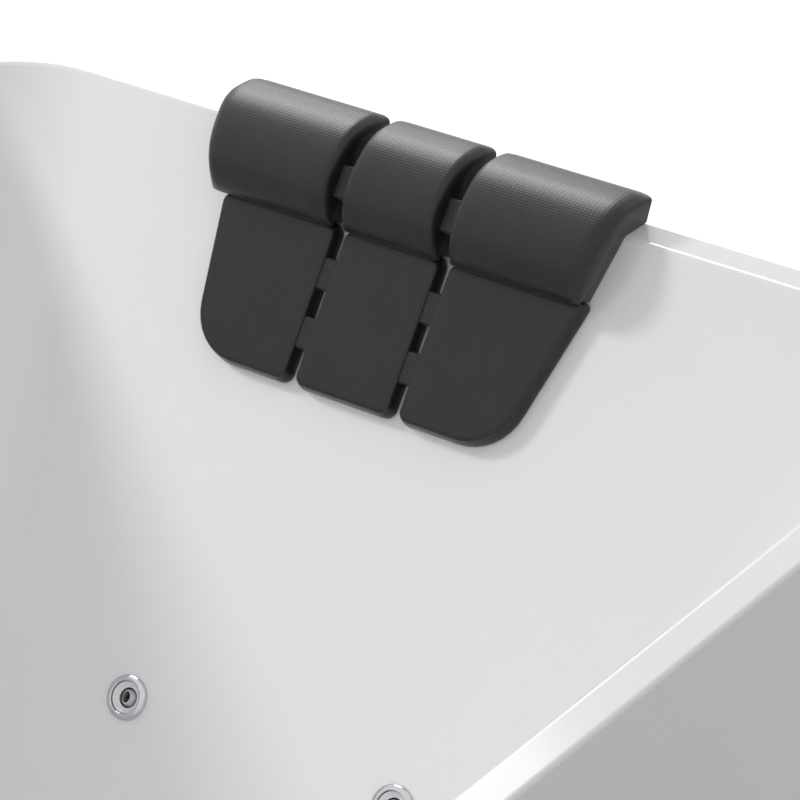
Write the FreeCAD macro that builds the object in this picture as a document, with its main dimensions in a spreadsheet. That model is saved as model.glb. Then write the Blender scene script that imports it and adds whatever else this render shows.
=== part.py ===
import FreeCAD, Part
import math
import os
import Sketcher

# A jetted bathtub, in millimetres. The origin is on the floor, under the middle of the tub.
# +X points to the head end, +Y to the far long side and +Z up.

SIZES = {
    # The tub as a whole
    "tub_length": 1700,
    "tub_width": 850,
    "tub_height": 600,
    # The basin: the acrylic shell with its rim
    "rim_width": 25,
    "rim_thickness": 10,
    "rim_edge_radius": 3,
    "rim_inner_radius": 5,
    "outer_corner_radius": 4.5,
    "acrylic_wall": 6,
    "bath_depth": 435,
    "head_slope": 34.4,
    "foot_slope": 12,
    "side_slope": 10,
    "rim_corner_radius": 88,
    "floor_corner_radius": 150,
    "floor_fillet": 60,
    # The outside panels and the battens that hold them
    "panel_wall": 5,
    "panel_floor_gap": 12,
    "batten_side": 22,
    "batten_top_gap": 56,
    "vent_count": 7,
    "vent_length": 120,
    "vent_height": 6,
    "vent_pitch": 16,
    "vent_level": 150,
    "screw_inset": 12,
    "screw_low": 90,
    "screw_high_drop": 120,
    "screw_radius": 2,
    "screw_head_radius": 4.2,
    "screw_head_height": 2.4,
    "screw_length": 20,
    # The frame under the basin
    "board_thickness": 15,
    "board_half_width": 270,
    "board_drain_gap": 60,
    "board_head_gap": 57,
    "tube_side": 30,
    "tube_wall": 2,
    "rail_spacing": 440,
    "cross_inset": 35,
    "cross_foot_inset": 350,
    "cross_head_inset": 105,
    # The levelling feet
    "foot_inset": 85,
    "foot_radius": 25,
    "foot_pad_height": 9,
    "stud_radius": 5,
    "stud_clearance": 0.05,
    "stud_engagement": 22,
    "nut_radius": 9,
    "nut_height": 6,
    # The two small jets in the head wall
    "jet_rise": 114,
    "jet_spacing": 217.4,
    "bezel_radius": 15.5,
    "bezel_height": 4,
    "insert_radius": 10.6,
    "insert_seam": 0.3,
    "recess_radius": 6.9,
    "ball_radius": 7.5,
    "ball_seat_depth": 6.5,
    "nozzle_bore": 3.8,
    "nozzle_tilt": 20,
    "jet_neck_radius": 13,
    "neck_clearance": 0.3,
    # The four larger jets in the long walls
    "side_jet_rise": 165,
    "side_jet_foot_inset": 430,
    "side_jet_head_inset": 810,
    "side_jet_scale": 1.5,
    # What a jet has behind the wall
    "jet_body_wall": 4,
    "jet_body_depth": 46,
    "jet_nut_wall": 6,
    "jet_nut_height": 7,
    "tee_depth": 31,
    "tee_radius": 13,
    "tee_half_length": 34,
    "air_tee_depth": 24,
    "air_tee_rise": 27,
    "air_tee_radius": 7,
    "air_tee_half_length": 20,
    "hose_wall": 3,
    "hose_bend": 60,
    "air_hose_bend": 30,
    "loop_depth": 27,
    "loop_turn_inset": 420,
    "switch_tube_radius": 2.5,
    "switch_tube_inset": 20,
    "switch_tube_rise": 30,
    # The suction fitting
    "suction_inset": 520,
    "suction_rise": 100,
    "suction_radius": 38,
    "suction_height": 9,
    "suction_neck_radius": 22,
    "suction_chamber_radius": 30,
    "suction_chamber_depth": 50,
    "suction_port_depth": 29,
    "suction_port_radius": 17,
    "suction_port_reach": 55,
    "suction_slots": 12,
    # The pump
    "pump_inset": 95,
    "pump_y": 125,
    "pump_rise": 82,
    "shelf_thickness": 4,
    "shelf_width": 120,
    "motor_radius": 58,
    "motor_wall": 4,
    "motor_length": 170,
    "volute_radius": 62,
    "volute_length": 56,
    "volute_wall": 5,
    "shaft_radius": 7,
    "shaft_clearance": 0.05,
    "rotor_radius": 36,
    "rotor_length": 90,
    "impeller_radius": 48,
    "impeller_blades": 6,
    "fan_radius": 48,
    "fan_blades": 8,
    "fan_cover_length": 46,
    "running_gap": 0.5,
    "hood_slots": 10,
    "terminal_height": 30,
    "inlet_length": 16,
    "outlet_offset": 42,
    "outlet_reach": 75,
    "gland_radius": 9,
    "gland_bore": 4,
    "gland_length": 22,
    # The controls in the far wall
    "control_drop": 110,
    "button_inset": 720,
    "button_radius": 14,
    "button_travel": 4,
    "knob_inset": 620,
    "knob_radius": 22,
    "knob_height": 18,
    "control_body_radius": 15,
    "control_bezel_width": 5,
    "control_bezel_height": 5,
    "control_body_depth": 26,
    "control_port_depth": 16,
    "control_port_reach": 24,
    "knob_stem_radius": 5,
    "knob_grips": 12,
    # The waste and overflow
    "drain_inset": 230,
    "drain_radius": 35,
    "drain_bore": 22,
    "drain_neck_wall": 2.9,
    "drain_neck_depth": 8,
    "drain_lip": 2.5,
    "drain_fit": 0.1,
    "drain_cup_wall": 4,
    "drain_depth": 90,
    "drain_port_depth": 32,
    "drain_port_reach": 60,
    "waste_radius": 20,
    "stopper_radius": 28,
    "overflow_drop": 75,
    "overflow_radius": 35,
    "overflow_body_radius": 28,
    "overflow_body_depth": 22,
    "overflow_shoulder": 4,
    "overflow_pipe_radius": 11,
    "pipe_wall": 2.5,
    "overflow_pipe_bend": 50,
    "overflow_port_drop": 35,
    "overflow_pipe_inset": 27,
    "overflow_height": 14,
    "overflow_grips": 5,
    # The headrest
    "headrest_y": 24,
    "headrest_gap": 0.4,
    "roll_width": 76,
    "roll_gap": 9.5,
    "roll_outer_reach": 154,
    "roll_end_lean": 12.4,
    "roll_outer_fall": 12,
    "roll_inner_fall": 7,
    "roll_slab": 16.5,
    "roll_height": 26,
    "roll_back_height": 20.5,
    "roll_front": 47.5,
    "roll_drop": 46,
    "pad_width": 75,
    "pad_gap": 8.5,
    "pad_top": 47.8,
    "pad_bottom": 157.5,
    "pad_left_top": 138.5,
    "pad_left_bottom": 123.1,
    "pad_right_top": 145.3,
    "pad_right_bottom": 117.7,
    "pad_thickness": 12,
    "lip_gap": 1.2,
    "pad_edge_radius": 3,
    "pad_corner_radius": 7,
    "pad_round_corner_radius": 38,
    "web_embed": 4,
    "roll_web_drop": 22,
    "roll_web_length": 22.5,
    "roll_web_height": 24.5,
    "pad_web_length": 22,
    "pad_web_height": 10,
    "upper_web_drop": 82,
    "lower_web_drop": 123,
    "cup_radius": 16,
    "cup_height": 6,
}

doc = FreeCAD.newDocument("JettedBathtub")
sheet = doc.addObject("Spreadsheet::Sheet", "Sizes")
for row, (alias, value) in enumerate(SIZES.items(), start=1):
    sheet.set(f"A{row}", alias)
    sheet.set(f"B{row}", str(value))
    sheet.setAlias(f"B{row}", alias)
doc.recompute()


class Size(float):
    """A number that also keeps the rule that gives it from the sheet's cells."""

    def __new__(cls, number, rule=None):
        size = super().__new__(cls, number)
        size.rule = rule or f"({float(number)!r})"
        return size

    def __add__(self, other):
        return joined(self, "+", other, float(self) + float(other))

    def __radd__(self, other):
        return joined(other, "+", self, float(other) + float(self))

    def __sub__(self, other):
        return joined(self, "-", other, float(self) - float(other))

    def __rsub__(self, other):
        return joined(other, "-", self, float(other) - float(self))

    def __mul__(self, other):
        return joined(self, "*", other, float(self) * float(other))

    def __rmul__(self, other):
        return joined(other, "*", self, float(other) * float(self))

    def __truediv__(self, other):
        return joined(self, "/", other, float(self) / float(other))

    def __rtruediv__(self, other):
        return joined(other, "/", self, float(other) / float(self))

    def __neg__(self):
        return Size(-float(self), f"(0 - {self.rule})")


def joined(left, sign, right, number):
    left, right = (side if isinstance(side, Size) else Size(side) for side in (left, right))
    return Size(number, f"({left.rule} {sign} {right.rule})")


def cos(angle):
    return Size(math.cos(math.radians(angle)), f"cos({angle.rule})")


def sin(angle):
    return Size(math.sin(math.radians(angle)), f"sin({angle.rule})")


def tan(angle):
    return Size(math.tan(math.radians(angle)), f"tan({angle.rule})")


class Cells:
    """The sheet's cells by name, each as a Size."""

    def __getattr__(self, name):
        return Size(float(sheet.get(name)), f"Sizes.{name}")


cell = Cells()
PARTS = {}
X_AXIS, Y_AXIS, Z_AXIS = (1, 0, 0), (0, 1, 0), (0, 0, 1)


def vector(*numbers):
    return FreeCAD.Vector(*(float(number) for number in numbers))


def bind(thing, path, size):
    """Let a property follow a rule on the sheet."""
    if isinstance(size, Size):
        thing.setExpression(path, size.rule)


def place(thing, x=0, y=0, z=0, axis=Z_AXIS, angle=0):
    """Turn a piece by the angle about the axis, then move it to x, y, z."""
    thing.Placement = FreeCAD.Placement(vector(x, y, z), FreeCAD.Rotation(vector(*axis), float(angle)))
    bind(thing, "Placement.Base.x", x)
    bind(thing, "Placement.Base.y", y)
    bind(thing, "Placement.Base.z", z)
    bind(thing, "Placement.Rotation.Angle", angle)
    return thing


def keep(name, thing):
    """Give a finished sub-part its name and put it on the list of files."""
    thing.Label = name
    PARTS[name] = thing
    return thing


# ---------------------------------------------------------------- shapes that are used again

def new_body(name):
    return doc.addObject("PartDesign::Body", name)


def new_sketch(body, name, plane, level=0):
    """A sketch on one of the body's own origin planes, lifted by the level along its normal."""
    sketch = body.newObject("Sketcher::SketchObject", name)
    planes = {feature.Role: feature for feature in body.Origin.OriginFeatures}
    sketch.AttachmentSupport = (planes[plane], [""])
    sketch.MapMode = "FlatFace"
    sketch.AttachmentOffset = FreeCAD.Placement(vector(0, 0, level), FreeCAD.Rotation())
    bind(sketch, "AttachmentOffset.Base.z", level)
    return sketch


def fix_point(sketch, edge, end, point):
    for kind, size in zip(("DistanceX", "DistanceY"), point):
        number = sketch.addConstraint(Sketcher.Constraint(kind, -1, 1, edge, end, float(size)))
        bind(sketch, f"Constraints[{number}]", size)


def draw_polygon(sketch, corners):
    """A closed outline of straight lines with every corner held by its two sizes."""
    first = sketch.GeometryCount
    count = len(corners)
    for index, corner in enumerate(corners):
        following = corners[(index + 1) % count]
        sketch.addGeometry(Part.LineSegment(vector(*corner, 0), vector(*following, 0)), False)
    for index, corner in enumerate(corners):
        after = first + (index + 1) % count
        sketch.addConstraint(Sketcher.Constraint("Coincident", first + index, 2, after, 1))
        fix_point(sketch, first + index, 1, corner)


def draw_rectangle(sketch, left, right, low, high):
    draw_polygon(sketch, [(left, low), (right, low), (right, high), (left, high)])


def draw_round_rectangle(sketch, left, right, low, high, radius):
    """Four lines, held at both ends, and the quarter arcs that join them."""
    first = sketch.GeometryCount
    lines = [
        ((left + radius, low), (right - radius, low)),
        ((right, low + radius), (right, high - radius)),
        ((right - radius, high), (left + radius, high)),
        ((left, high - radius), (left, low + radius)),
    ]
    centres = [
        (right - radius, low + radius),
        (right - radius, high - radius),
        (left + radius, high - radius),
        (left + radius, low + radius),
    ]
    for start, end in lines:
        sketch.addGeometry(Part.LineSegment(vector(*start, 0), vector(*end, 0)), False)
    for quarter, centre in enumerate(centres):
        circle = Part.Circle(vector(*centre, 0), vector(*Z_AXIS), float(radius))
        turn = math.radians(90 * quarter - 90)
        sketch.addGeometry(Part.ArcOfCircle(circle, turn, turn + math.pi / 2), False)
    for index, (start, end) in enumerate(lines):
        fix_point(sketch, first + index, 1, start)
        fix_point(sketch, first + index, 2, end)
    for index in range(4):
        arc = first + 4 + index
        sketch.addConstraint(Sketcher.Constraint("Coincident", first + index, 2, arc, 1))
        sketch.addConstraint(Sketcher.Constraint("Coincident", arc, 2, first + (index + 1) % 4, 1))
        number = sketch.addConstraint(Sketcher.Constraint("Radius", arc, float(radius)))
        bind(sketch, f"Constraints[{number}]", radius)


def draw_circle(sketch, x, y, radius):
    circle = sketch.addGeometry(Part.Circle(vector(x, y, 0), vector(*Z_AXIS), float(radius)), False)
    fix_point(sketch, circle, 3, (x, y))
    number = sketch.addConstraint(Sketcher.Constraint("Radius", circle, float(radius)))
    bind(sketch, f"Constraints[{number}]", radius)


def pad(body, name, sketch, length):
    feature = body.newObject("PartDesign::Pad", name)
    feature.Profile = sketch
    feature.Length = float(length)
    bind(feature, "Length", length)
    body.Tip = feature
    return feature


def turned(name, outline):
    """A piece turned about its own Z axis from an outline of (radius, height) corners."""
    body = new_body(name)
    sketch = new_sketch(body, name + "_outline", "XZ_Plane")
    draw_polygon(sketch, outline)
    feature = body.newObject("PartDesign::Revolution", name + "_turn")
    feature.Profile = sketch
    feature.ReferenceAxis = (sketch, ["V_Axis"])
    feature.Angle = 360
    body.Tip = feature
    return body


def rounded_edges(base, name, radius, chosen):
    """A Part fillet of one radius on the chosen edges of a finished shape."""
    doc.recompute()
    fillet = doc.addObject("Part::Fillet", name)
    fillet.Base = base
    numbers = [number for number, edge in enumerate(base.Shape.Edges, start=1) if chosen(edge)]
    fillet.Edges = [(number, float(radius), float(radius)) for number in numbers]
    return fillet


def softened(body, name, radius, chosen):
    """A PartDesign fillet on the chosen edges of the body so far."""
    doc.recompute()
    base = body.Tip
    fillet = body.newObject("PartDesign::Fillet", name)
    names = [f"Edge{number}" for number, edge in enumerate(base.Shape.Edges, start=1) if chosen(edge)]
    fillet.Base = (base, names)
    fillet.Radius = float(radius)
    bind(fillet, "Radius", radius)
    body.Tip = fillet
    return fillet


def block(name, x_span, y_span, z_span):
    """A box between two places along each axis."""
    box = doc.addObject("Part::Box", name)
    for path, (low, high) in zip(("Length", "Width", "Height"), (x_span, y_span, z_span)):
        setattr(box, path, float(high) - float(low))
        bind(box, path, high - low)
    return place(box, x_span[0], y_span[0], z_span[0])


def cylinder(name, radius, length):
    rod = doc.addObject("Part::Cylinder", name)
    rod.Radius, rod.Height = float(radius), float(length)
    bind(rod, "Radius", radius)
    bind(rod, "Height", length)
    return rod


def rod_along(name, radius, length, axis, x=0, y=0, z=0):
    """A cylinder whose middle is at x, y, z, lying along X or Y."""
    rod = cylinder(name, radius, length)
    if axis == X_AXIS:
        return place(rod, x - length / 2, y, z, Y_AXIS, 90)
    return place(rod, x, y - length / 2, z, X_AXIS, -90)


def cut(name, base, tools):
    result = doc.addObject("Part::Cut", name)
    result.Base = base
    result.Tool = tools[0] if len(tools) == 1 else fused(name + "_cutters", tools)
    return result


def fused(name, pieces):
    result = doc.addObject("Part::MultiFuse", name)
    result.Shapes = pieces
    return result


def group(name, pieces):
    result = doc.addObject("Part::Compound", name)
    result.Links = pieces
    return result


# ---------------------------------------------------------------- places on the basin's walls

def head_x(drop, behind=0):
    """Where the sloped head wall is, at a drop below the rim and a distance behind its face."""
    edge = cell.tub_length / 2 - cell.rim_width
    return edge - drop * tan(cell.head_slope) + behind / cos(cell.head_slope)


def foot_x(drop, behind=0):
    edge = cell.rim_width - cell.tub_length / 2
    return edge + drop * tan(cell.foot_slope) - behind / cos(cell.foot_slope)


def side_y(drop, behind=0):
    edge = cell.tub_width / 2 - cell.rim_width
    return edge - drop * tan(cell.side_slope) + behind / cos(cell.side_slope)


FLOOR_LEVEL = cell.tub_height - cell.bath_depth
UNDERSIDE = FLOOR_LEVEL - cell.acrylic_wall
PANEL_TOP = cell.tub_height - cell.rim_thickness
INSIDE_X = cell.tub_length / 2 - cell.panel_wall
INSIDE_Y = cell.tub_width / 2 - cell.panel_wall
RAIL_TOP = UNDERSIDE - cell.board_thickness
CROSS_TOP = RAIL_TOP - cell.tube_side
CROSS_LOW = CROSS_TOP - cell.tube_side
SHELF_TOP = CROSS_TOP + cell.shelf_thickness
PUMP_LEVEL = SHELF_TOP + cell.pump_rise
JET_DROP = cell.bath_depth - cell.jet_rise
SIDE_JET_DROP = cell.bath_depth - cell.side_jet_rise
SUCTION_DROP = cell.bath_depth - cell.suction_rise
HEAD_END, FOOT_END = cell.tub_length / 2, -cell.tub_length / 2
PUMP_X = HEAD_END - cell.pump_inset
SUCTION_X = HEAD_END - cell.suction_inset
DRAIN_X = FOOT_END + cell.drain_inset
BUTTON_X, KNOB_X = FOOT_END + cell.button_inset, FOOT_END + cell.knob_inset
CROSS_X = {"cross_foot": FOOT_END + cell.cross_foot_inset, "cross_head": HEAD_END - cell.cross_head_inset}
FOOT_Y = cell.tub_width / 2 - cell.foot_inset


def on_head_wall(thing, y, drop):
    """Seat a piece on the head wall: its own Z then points into the bath, its X up the slope."""
    return place(thing, head_x(drop), y, cell.tub_height - drop, Y_AXIS, cell.head_slope - 90)


def on_foot_wall(thing, y, drop):
    return place(thing, foot_x(drop), y, cell.tub_height - drop, Y_AXIS, 90 - cell.foot_slope)


def on_side_wall(thing, x, drop, side):
    """Side +1 is the far wall, side -1 the near wall."""
    angle = (90 - cell.side_slope) * side
    return place(thing, x, side_y(drop) * side, cell.tub_height - drop, X_AXIS, angle)


def on_floor(thing, x, y=0):
    return place(thing, x, y, FLOOR_LEVEL)


JET_YS = {"right": -cell.jet_spacing / 2, "left": cell.jet_spacing / 2}
SIDE_JET_FOOT_X, SIDE_JET_HEAD_X = FOOT_END + cell.side_jet_foot_inset, HEAD_END - cell.side_jet_head_inset
SIDE_JETS = {
    "front_foot": (SIDE_JET_FOOT_X, -1),
    "front_head": (SIDE_JET_HEAD_X, -1),
    "back_head": (SIDE_JET_HEAD_X, 1),
    "back_foot": (SIDE_JET_FOOT_X, 1),
}


# ---------------------------------------------------------------- the basin

def bowl_section(body, name, drop, offset):
    """A level section through the bath, or through its outside where the offset is the wall."""
    sketch = new_sketch(body, name, "XY_Plane", cell.tub_height - drop)
    growth = (cell.floor_corner_radius - cell.rim_corner_radius) / cell.bath_depth
    radius = cell.rim_corner_radius + growth * drop + offset
    reach = side_y(drop, offset)
    draw_round_rectangle(sketch, foot_x(drop, offset), head_x(drop, offset), -reach, reach, radius)
    return sketch


def bowl(name, top, bottom, offset):
    """A straight-sided loft between the rim and the floor, with the floor's edge rounded."""
    body = new_body(name)
    loft = body.newObject("PartDesign::AdditiveLoft", name + "_loft")
    loft.Profile = bowl_section(body, name + "_top", top, offset)
    loft.Sections = [bowl_section(body, name + "_bottom", bottom, offset)]
    loft.Ruled = True
    body.Tip = loft
    level = cell.tub_height - bottom
    softened(body, name + "_floor_edge", cell.floor_fillet + offset,
             lambda edge: is_level_at(edge, level))
    return body


def is_level_at(edge, level):
    box = edge.BoundBox
    return box.ZLength < 1e-6 and abs(box.ZMax - level) < 1e-6


def is_on_rim_opening(edge):
    """An edge of the rim's top face that goes round the bath, not round the outside."""
    box = edge.BoundBox
    far = max(abs(box.XMin), abs(box.XMax)) > cell.tub_length / 2 - cell.rim_width / 2
    wide = max(abs(box.YMin), abs(box.YMax)) > cell.tub_width / 2 - cell.rim_width / 2
    return is_level_at(edge, cell.tub_height) and not far and not wide


def wall_hole(name, radius):
    """A cutter through the acrylic wall, seated on the wall's inner face."""
    reach = cell.acrylic_wall * 3
    return group(name + "_seat", [place(cylinder(name, radius, reach), 0, 0, -reach / 2)])


def make_basin():
    plate = new_body("rim_plate")
    outline = new_sketch(plate, "rim_outline", "XY_Plane", PANEL_TOP)
    half_length, half_width = cell.tub_length / 2, cell.tub_width / 2
    draw_round_rectangle(outline, -half_length, half_length, -half_width, half_width,
                         cell.outer_corner_radius)
    pad(plate, "rim", outline, cell.rim_thickness)
    softened(plate, "rim_edge", cell.rim_edge_radius, lambda edge: is_level_at(edge, cell.tub_height))
    wall = cell.acrylic_wall
    outside = bowl("bowl_outside", cell.rim_thickness / 2, cell.bath_depth + wall, wall)
    inside = bowl("bowl_inside", Size(0), cell.bath_depth, Size(0))
    shell = cut("basin_shell", fused("rim_and_bowl", [plate, outside]), [inside])
    shell = rounded_edges(shell, "basin_rounded", cell.rim_inner_radius, is_on_rim_opening)

    holes = [on_head_wall(wall_hole("jet_hole_" + side, cell.jet_neck_radius), y, JET_DROP)
             for side, y in JET_YS.items()]
    side_neck = cell.jet_neck_radius * cell.side_jet_scale
    holes += [on_side_wall(wall_hole("side_jet_hole_" + name, side_neck), x, SIDE_JET_DROP, side)
              for name, (x, side) in SIDE_JETS.items()]
    holes.append(on_side_wall(wall_hole("suction_hole", cell.suction_neck_radius),
                              SUCTION_X, SUCTION_DROP, 1))
    for name, x in (("button_hole", BUTTON_X), ("knob_hole", KNOB_X)):
        holes.append(on_side_wall(wall_hole(name, cell.control_body_radius), x, cell.control_drop, 1))
    overflow_hole = cell.overflow_body_radius - cell.overflow_shoulder
    holes.append(on_foot_wall(wall_hole("overflow_hole", overflow_hole), 0, cell.overflow_drop))
    drain_hole = cell.drain_bore + cell.drain_neck_wall + cell.drain_fit
    holes.append(on_floor(wall_hole("drain_hole", drain_hole), DRAIN_X))
    keep("basin", cut("basin", shell, holes))


# ---------------------------------------------------------------- outside panels and frame

def make_panels():
    half_length, half_width = cell.tub_length / 2, cell.tub_width / 2
    z_span = (cell.panel_floor_gap, PANEL_TOP)
    for name, span in (("skirt_front", (-half_width, -INSIDE_Y)), ("skirt_back", (INSIDE_Y, half_width))):
        panel = block(name + "_sheet", (-half_length, half_length), span, z_span)
        outer = half_width

        def on_corner(edge, outer=outer):
            box = edge.BoundBox
            return box.ZLength > 1 and abs(max(abs(box.YMin), abs(box.YMax)) - outer) < 1e-6

        keep(name, rounded_edges(panel, name, cell.outer_corner_radius, on_corner))
    keep("skirt_foot", block("skirt_foot", (-half_length, -INSIDE_X), (-INSIDE_Y, INSIDE_Y), z_span))

    body = new_body("access_panel")
    sheet_outline = new_sketch(body, "access_outline", "YZ_Plane", INSIDE_X)
    draw_rectangle(sheet_outline, -INSIDE_Y, INSIDE_Y, cell.panel_floor_gap, PANEL_TOP)
    pad(body, "access_sheet", sheet_outline, cell.panel_wall)
    first_vent = new_sketch(body, "vent_outline", "YZ_Plane", half_length)
    draw_round_rectangle(first_vent, -cell.vent_length / 2, cell.vent_length / 2, cell.vent_level,
                         cell.vent_level + cell.vent_height, cell.vent_height * 0.49)
    vent = pocket(body, "vent", first_vent, cell.panel_wall * 2)
    row_of(body, "vents", vent, first_vent, "V_Axis", cell.vent_pitch, cell.vent_count)
    screw_holes = [on_head_panel(screw_cutter(f"screw_hole_{number}"), y, z)
                   for number, (y, z) in enumerate(SCREW_PLACES, start=1)]
    keep("access_panel", cut("access_panel", body, screw_holes))

    screws = []
    for number, (y, z) in enumerate(SCREW_PLACES, start=1):
        screw = turned(f"panel_screw_{number}", screw_outline(Size(0)))
        screws.append(on_head_panel(screw, y, z))
    keep("panel_screws", group("panel_screws", screws))

    battens = []
    side = cell.batten_side
    low = cell.panel_floor_gap + cell.batten_side
    for x_side in (-1, 1):
        for y_side in (-1, 1):
            name = f"batten_{'foot' if x_side < 0 else 'head'}_{'front' if y_side < 0 else 'back'}"
            x_span = ordered(INSIDE_X * x_side, (INSIDE_X - side) * x_side)
            y_span = ordered(INSIDE_Y * y_side, (INSIDE_Y - side) * y_side)
            battens.append(block(name, x_span, y_span, (low, PANEL_TOP - cell.batten_top_gap)))
    drilled = [on_head_panel(screw_cutter(f"batten_hole_{number}"), y, z)
               for number, (y, z) in enumerate(SCREW_PLACES, start=1)]
    keep("corner_battens", cut("corner_battens", group("battens", battens), drilled))


def ordered(one, other):
    return (one, other) if one < other else (other, one)


def on_head_panel(thing, y, z):
    """Seat a piece in the head panel's outer face, with its own Z pointing out of the tub."""
    return place(thing, cell.tub_length / 2, y, z, Y_AXIS, 90)


SCREW_Y = INSIDE_Y - cell.screw_inset
SCREW_PLACES = [(y, z) for y in (-SCREW_Y, SCREW_Y)
                for z in (cell.screw_low, PANEL_TOP - cell.screw_high_drop)]


def screw_outline(clearance):
    """A countersunk screw whose head ends flush with the panel's face."""
    head, shank = cell.screw_head_radius + clearance, cell.screw_radius + clearance
    return [(0, 0), (head, 0), (shank, -cell.screw_head_height), (shank, -cell.screw_length),
            (0, -cell.screw_length)]


def screw_cutter(name):
    """The room for one screw, a little wider than the screw itself."""
    return turned(name, screw_outline(Size(0.05)))


def pocket(body, name, sketch, depth):
    """Cut a sketch into the body, against the sketch's normal."""
    feature = body.newObject("PartDesign::Pocket", name)
    feature.Profile = sketch
    feature.Length = float(depth)
    bind(feature, "Length", depth)
    body.Tip = feature
    return feature


def row_of(body, name, feature, sketch, axis, pitch, count):
    row = body.newObject("PartDesign::LinearPattern", name)
    row.Originals = [feature]
    row.Direction = (sketch, [axis])
    row.Length = float(pitch * (count - 1))
    bind(row, "Length", pitch * (count - 1))
    row.Occurrences = int(count)
    bind(row, "Occurrences", count)
    body.Tip = row


def ring_of(body, name, feature, sketch, count):
    ring = body.newObject("PartDesign::PolarPattern", name)
    ring.Originals = [feature]
    ring.Axis = (sketch, ["N_Axis"])
    ring.Angle = 360
    ring.Occurrences = int(count)
    bind(ring, "Occurrences", count)
    body.Tip = ring


def square_tube(name, plane, start, length, across, low):
    """A square steel tube along X or Y, from its start, centred on a place across, above a level."""
    body = new_body(name)
    sketch = new_sketch(body, name + "_section", plane, start)
    half, wall = cell.tube_side / 2, cell.tube_wall
    high = low + cell.tube_side
    draw_rectangle(sketch, across - half, across + half, low, high)
    draw_rectangle(sketch, across - half + wall, across + half - wall, low + wall, high - wall)
    pad(body, name + "_length", sketch, length)
    return body


def make_frame():
    board_foot = DRAIN_X + cell.board_drain_gap
    board = block("floor_board", (board_foot, head_x(cell.bath_depth) - cell.board_head_gap),
                  (-cell.board_half_width, cell.board_half_width), (RAIL_TOP, UNDERSIDE))
    keep("floor_board", board)
    rail_end = CROSS_X["cross_head"] + cell.tube_side / 2
    for name, side in (("rail_front", -1), ("rail_back", 1)):
        rail = square_tube(name, "YZ_Plane", board_foot, rail_end - board_foot,
                           cell.rail_spacing / 2 * side, RAIL_TOP - cell.tube_side)
        keep(name, rail)
    for name, x in CROSS_X.items():
        half = cell.tub_width / 2 - cell.cross_inset
        cross = block(name + "_outside", (x - cell.tube_side / 2, x + cell.tube_side / 2), (-half, half),
                      (CROSS_LOW, CROSS_TOP))
        wall = cell.tube_wall
        hollow = block(name + "_hollow",
                       (x - cell.tube_side / 2 + wall, x + cell.tube_side / 2 - wall), (-half, half),
                       (CROSS_LOW + wall, CROSS_TOP - wall))
        holes = [
            place(cylinder(f"{name}_stud_hole_{side}", cell.stud_radius + cell.stud_clearance,
                           cell.tube_side / 2), x, FOOT_Y * side,
                  CROSS_LOW - cell.tube_side / 4)
            for side in (-1, 1)]
        keep(name, cut(name, cross, [hollow] + holes))


def make_feet():
    bore = cell.stud_radius + cell.stud_clearance
    nuts = []
    for end, x in (("foot", CROSS_X["cross_foot"]), ("head", CROSS_X["cross_head"])):
        for side_name, side in (("front", -1), ("back", 1)):
            name = f"levelling_foot_{end}_{side_name}"
            y = FOOT_Y * side
            radius, stud = cell.foot_radius, cell.stud_radius
            top = CROSS_LOW + cell.stud_engagement
            body = turned(name, [
                (0, 0), (radius - 2, 0), (radius, 2), (radius, cell.foot_pad_height - 3),
                (stud + 4, cell.foot_pad_height), (stud, cell.foot_pad_height + 2), (stud, top), (0, top)])
            keep(name, place(body, x, y, 0))
            nut = turned(f"lock_nut_{end}_{side_name}", [
                (bore, 0), (cell.nut_radius, 0), (cell.nut_radius, cell.nut_height),
                (bore, cell.nut_height)])
            nuts.append(place(nut, x, y, CROSS_LOW - cell.nut_height))
    keep("foot_lock_nuts", group("foot_lock_nuts", nuts))


# ---------------------------------------------------------------- the jets

def make_bezel(name, scale):
    """A domed trim ring that stands on the wall and runs through it as a neck."""
    outer, seam = cell.bezel_radius * scale, (cell.insert_radius + cell.insert_seam) * scale
    neck, high = cell.jet_neck_radius * scale - cell.neck_clearance, cell.bezel_height * scale
    wall = cell.acrylic_wall
    body = turned(name, [(seam, -wall), (neck, -wall), (neck, 0), (outer, 0), (outer, high), (seam, high)])
    softened(body, name + "_dome", high * 0.8,
             lambda edge: is_level_at(edge, high) and edge.BoundBox.XLength > outer * 2 - 0.1)
    softened(body, name + "_lip", high * 0.15,
             lambda edge: is_level_at(edge, high) and edge.BoundBox.XLength < seam * 2 + 0.1)
    return body


def make_insert(name, scale):
    """The pale cone inside the bezel, which ends in the round recess for the nozzle."""
    outer, recess = cell.insert_radius * scale, cell.recess_radius * scale
    wide = cell.ball_radius * scale + cell.running_gap
    high = cell.bezel_height * scale
    low = cell.ball_seat_depth * scale + cell.ball_radius * scale
    throat = high * 0.2
    return turned(name, [
        (recess, -throat), (recess + 0.8, -throat), (outer, high * 0.55), (outer, -low),
        (wide, -low), (wide, -cell.acrylic_wall), (recess, -throat - 1.5)])


def make_nozzle(name, scale, tilt):
    """The eyeball: a ball with a flat front and a bore, tilted in its seat."""
    ball, bore = cell.ball_radius * scale, cell.nozzle_bore * scale
    sphere = doc.addObject("Part::Sphere", name + "_ball")
    sphere.Radius = float(ball)
    bind(sphere, "Radius", ball)
    front = place(cylinder(name + "_front", ball, ball), 0, 0, ball * 0.75)
    hole = place(cylinder(name + "_bore", bore, ball * 3), 0, 0, -ball * 1.5)
    eyeball = cut(name + "_eyeball", sphere, [front, hole])
    return place(eyeball, 0, 0, -cell.ball_seat_depth * scale, X_AXIS, tilt)


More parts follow.
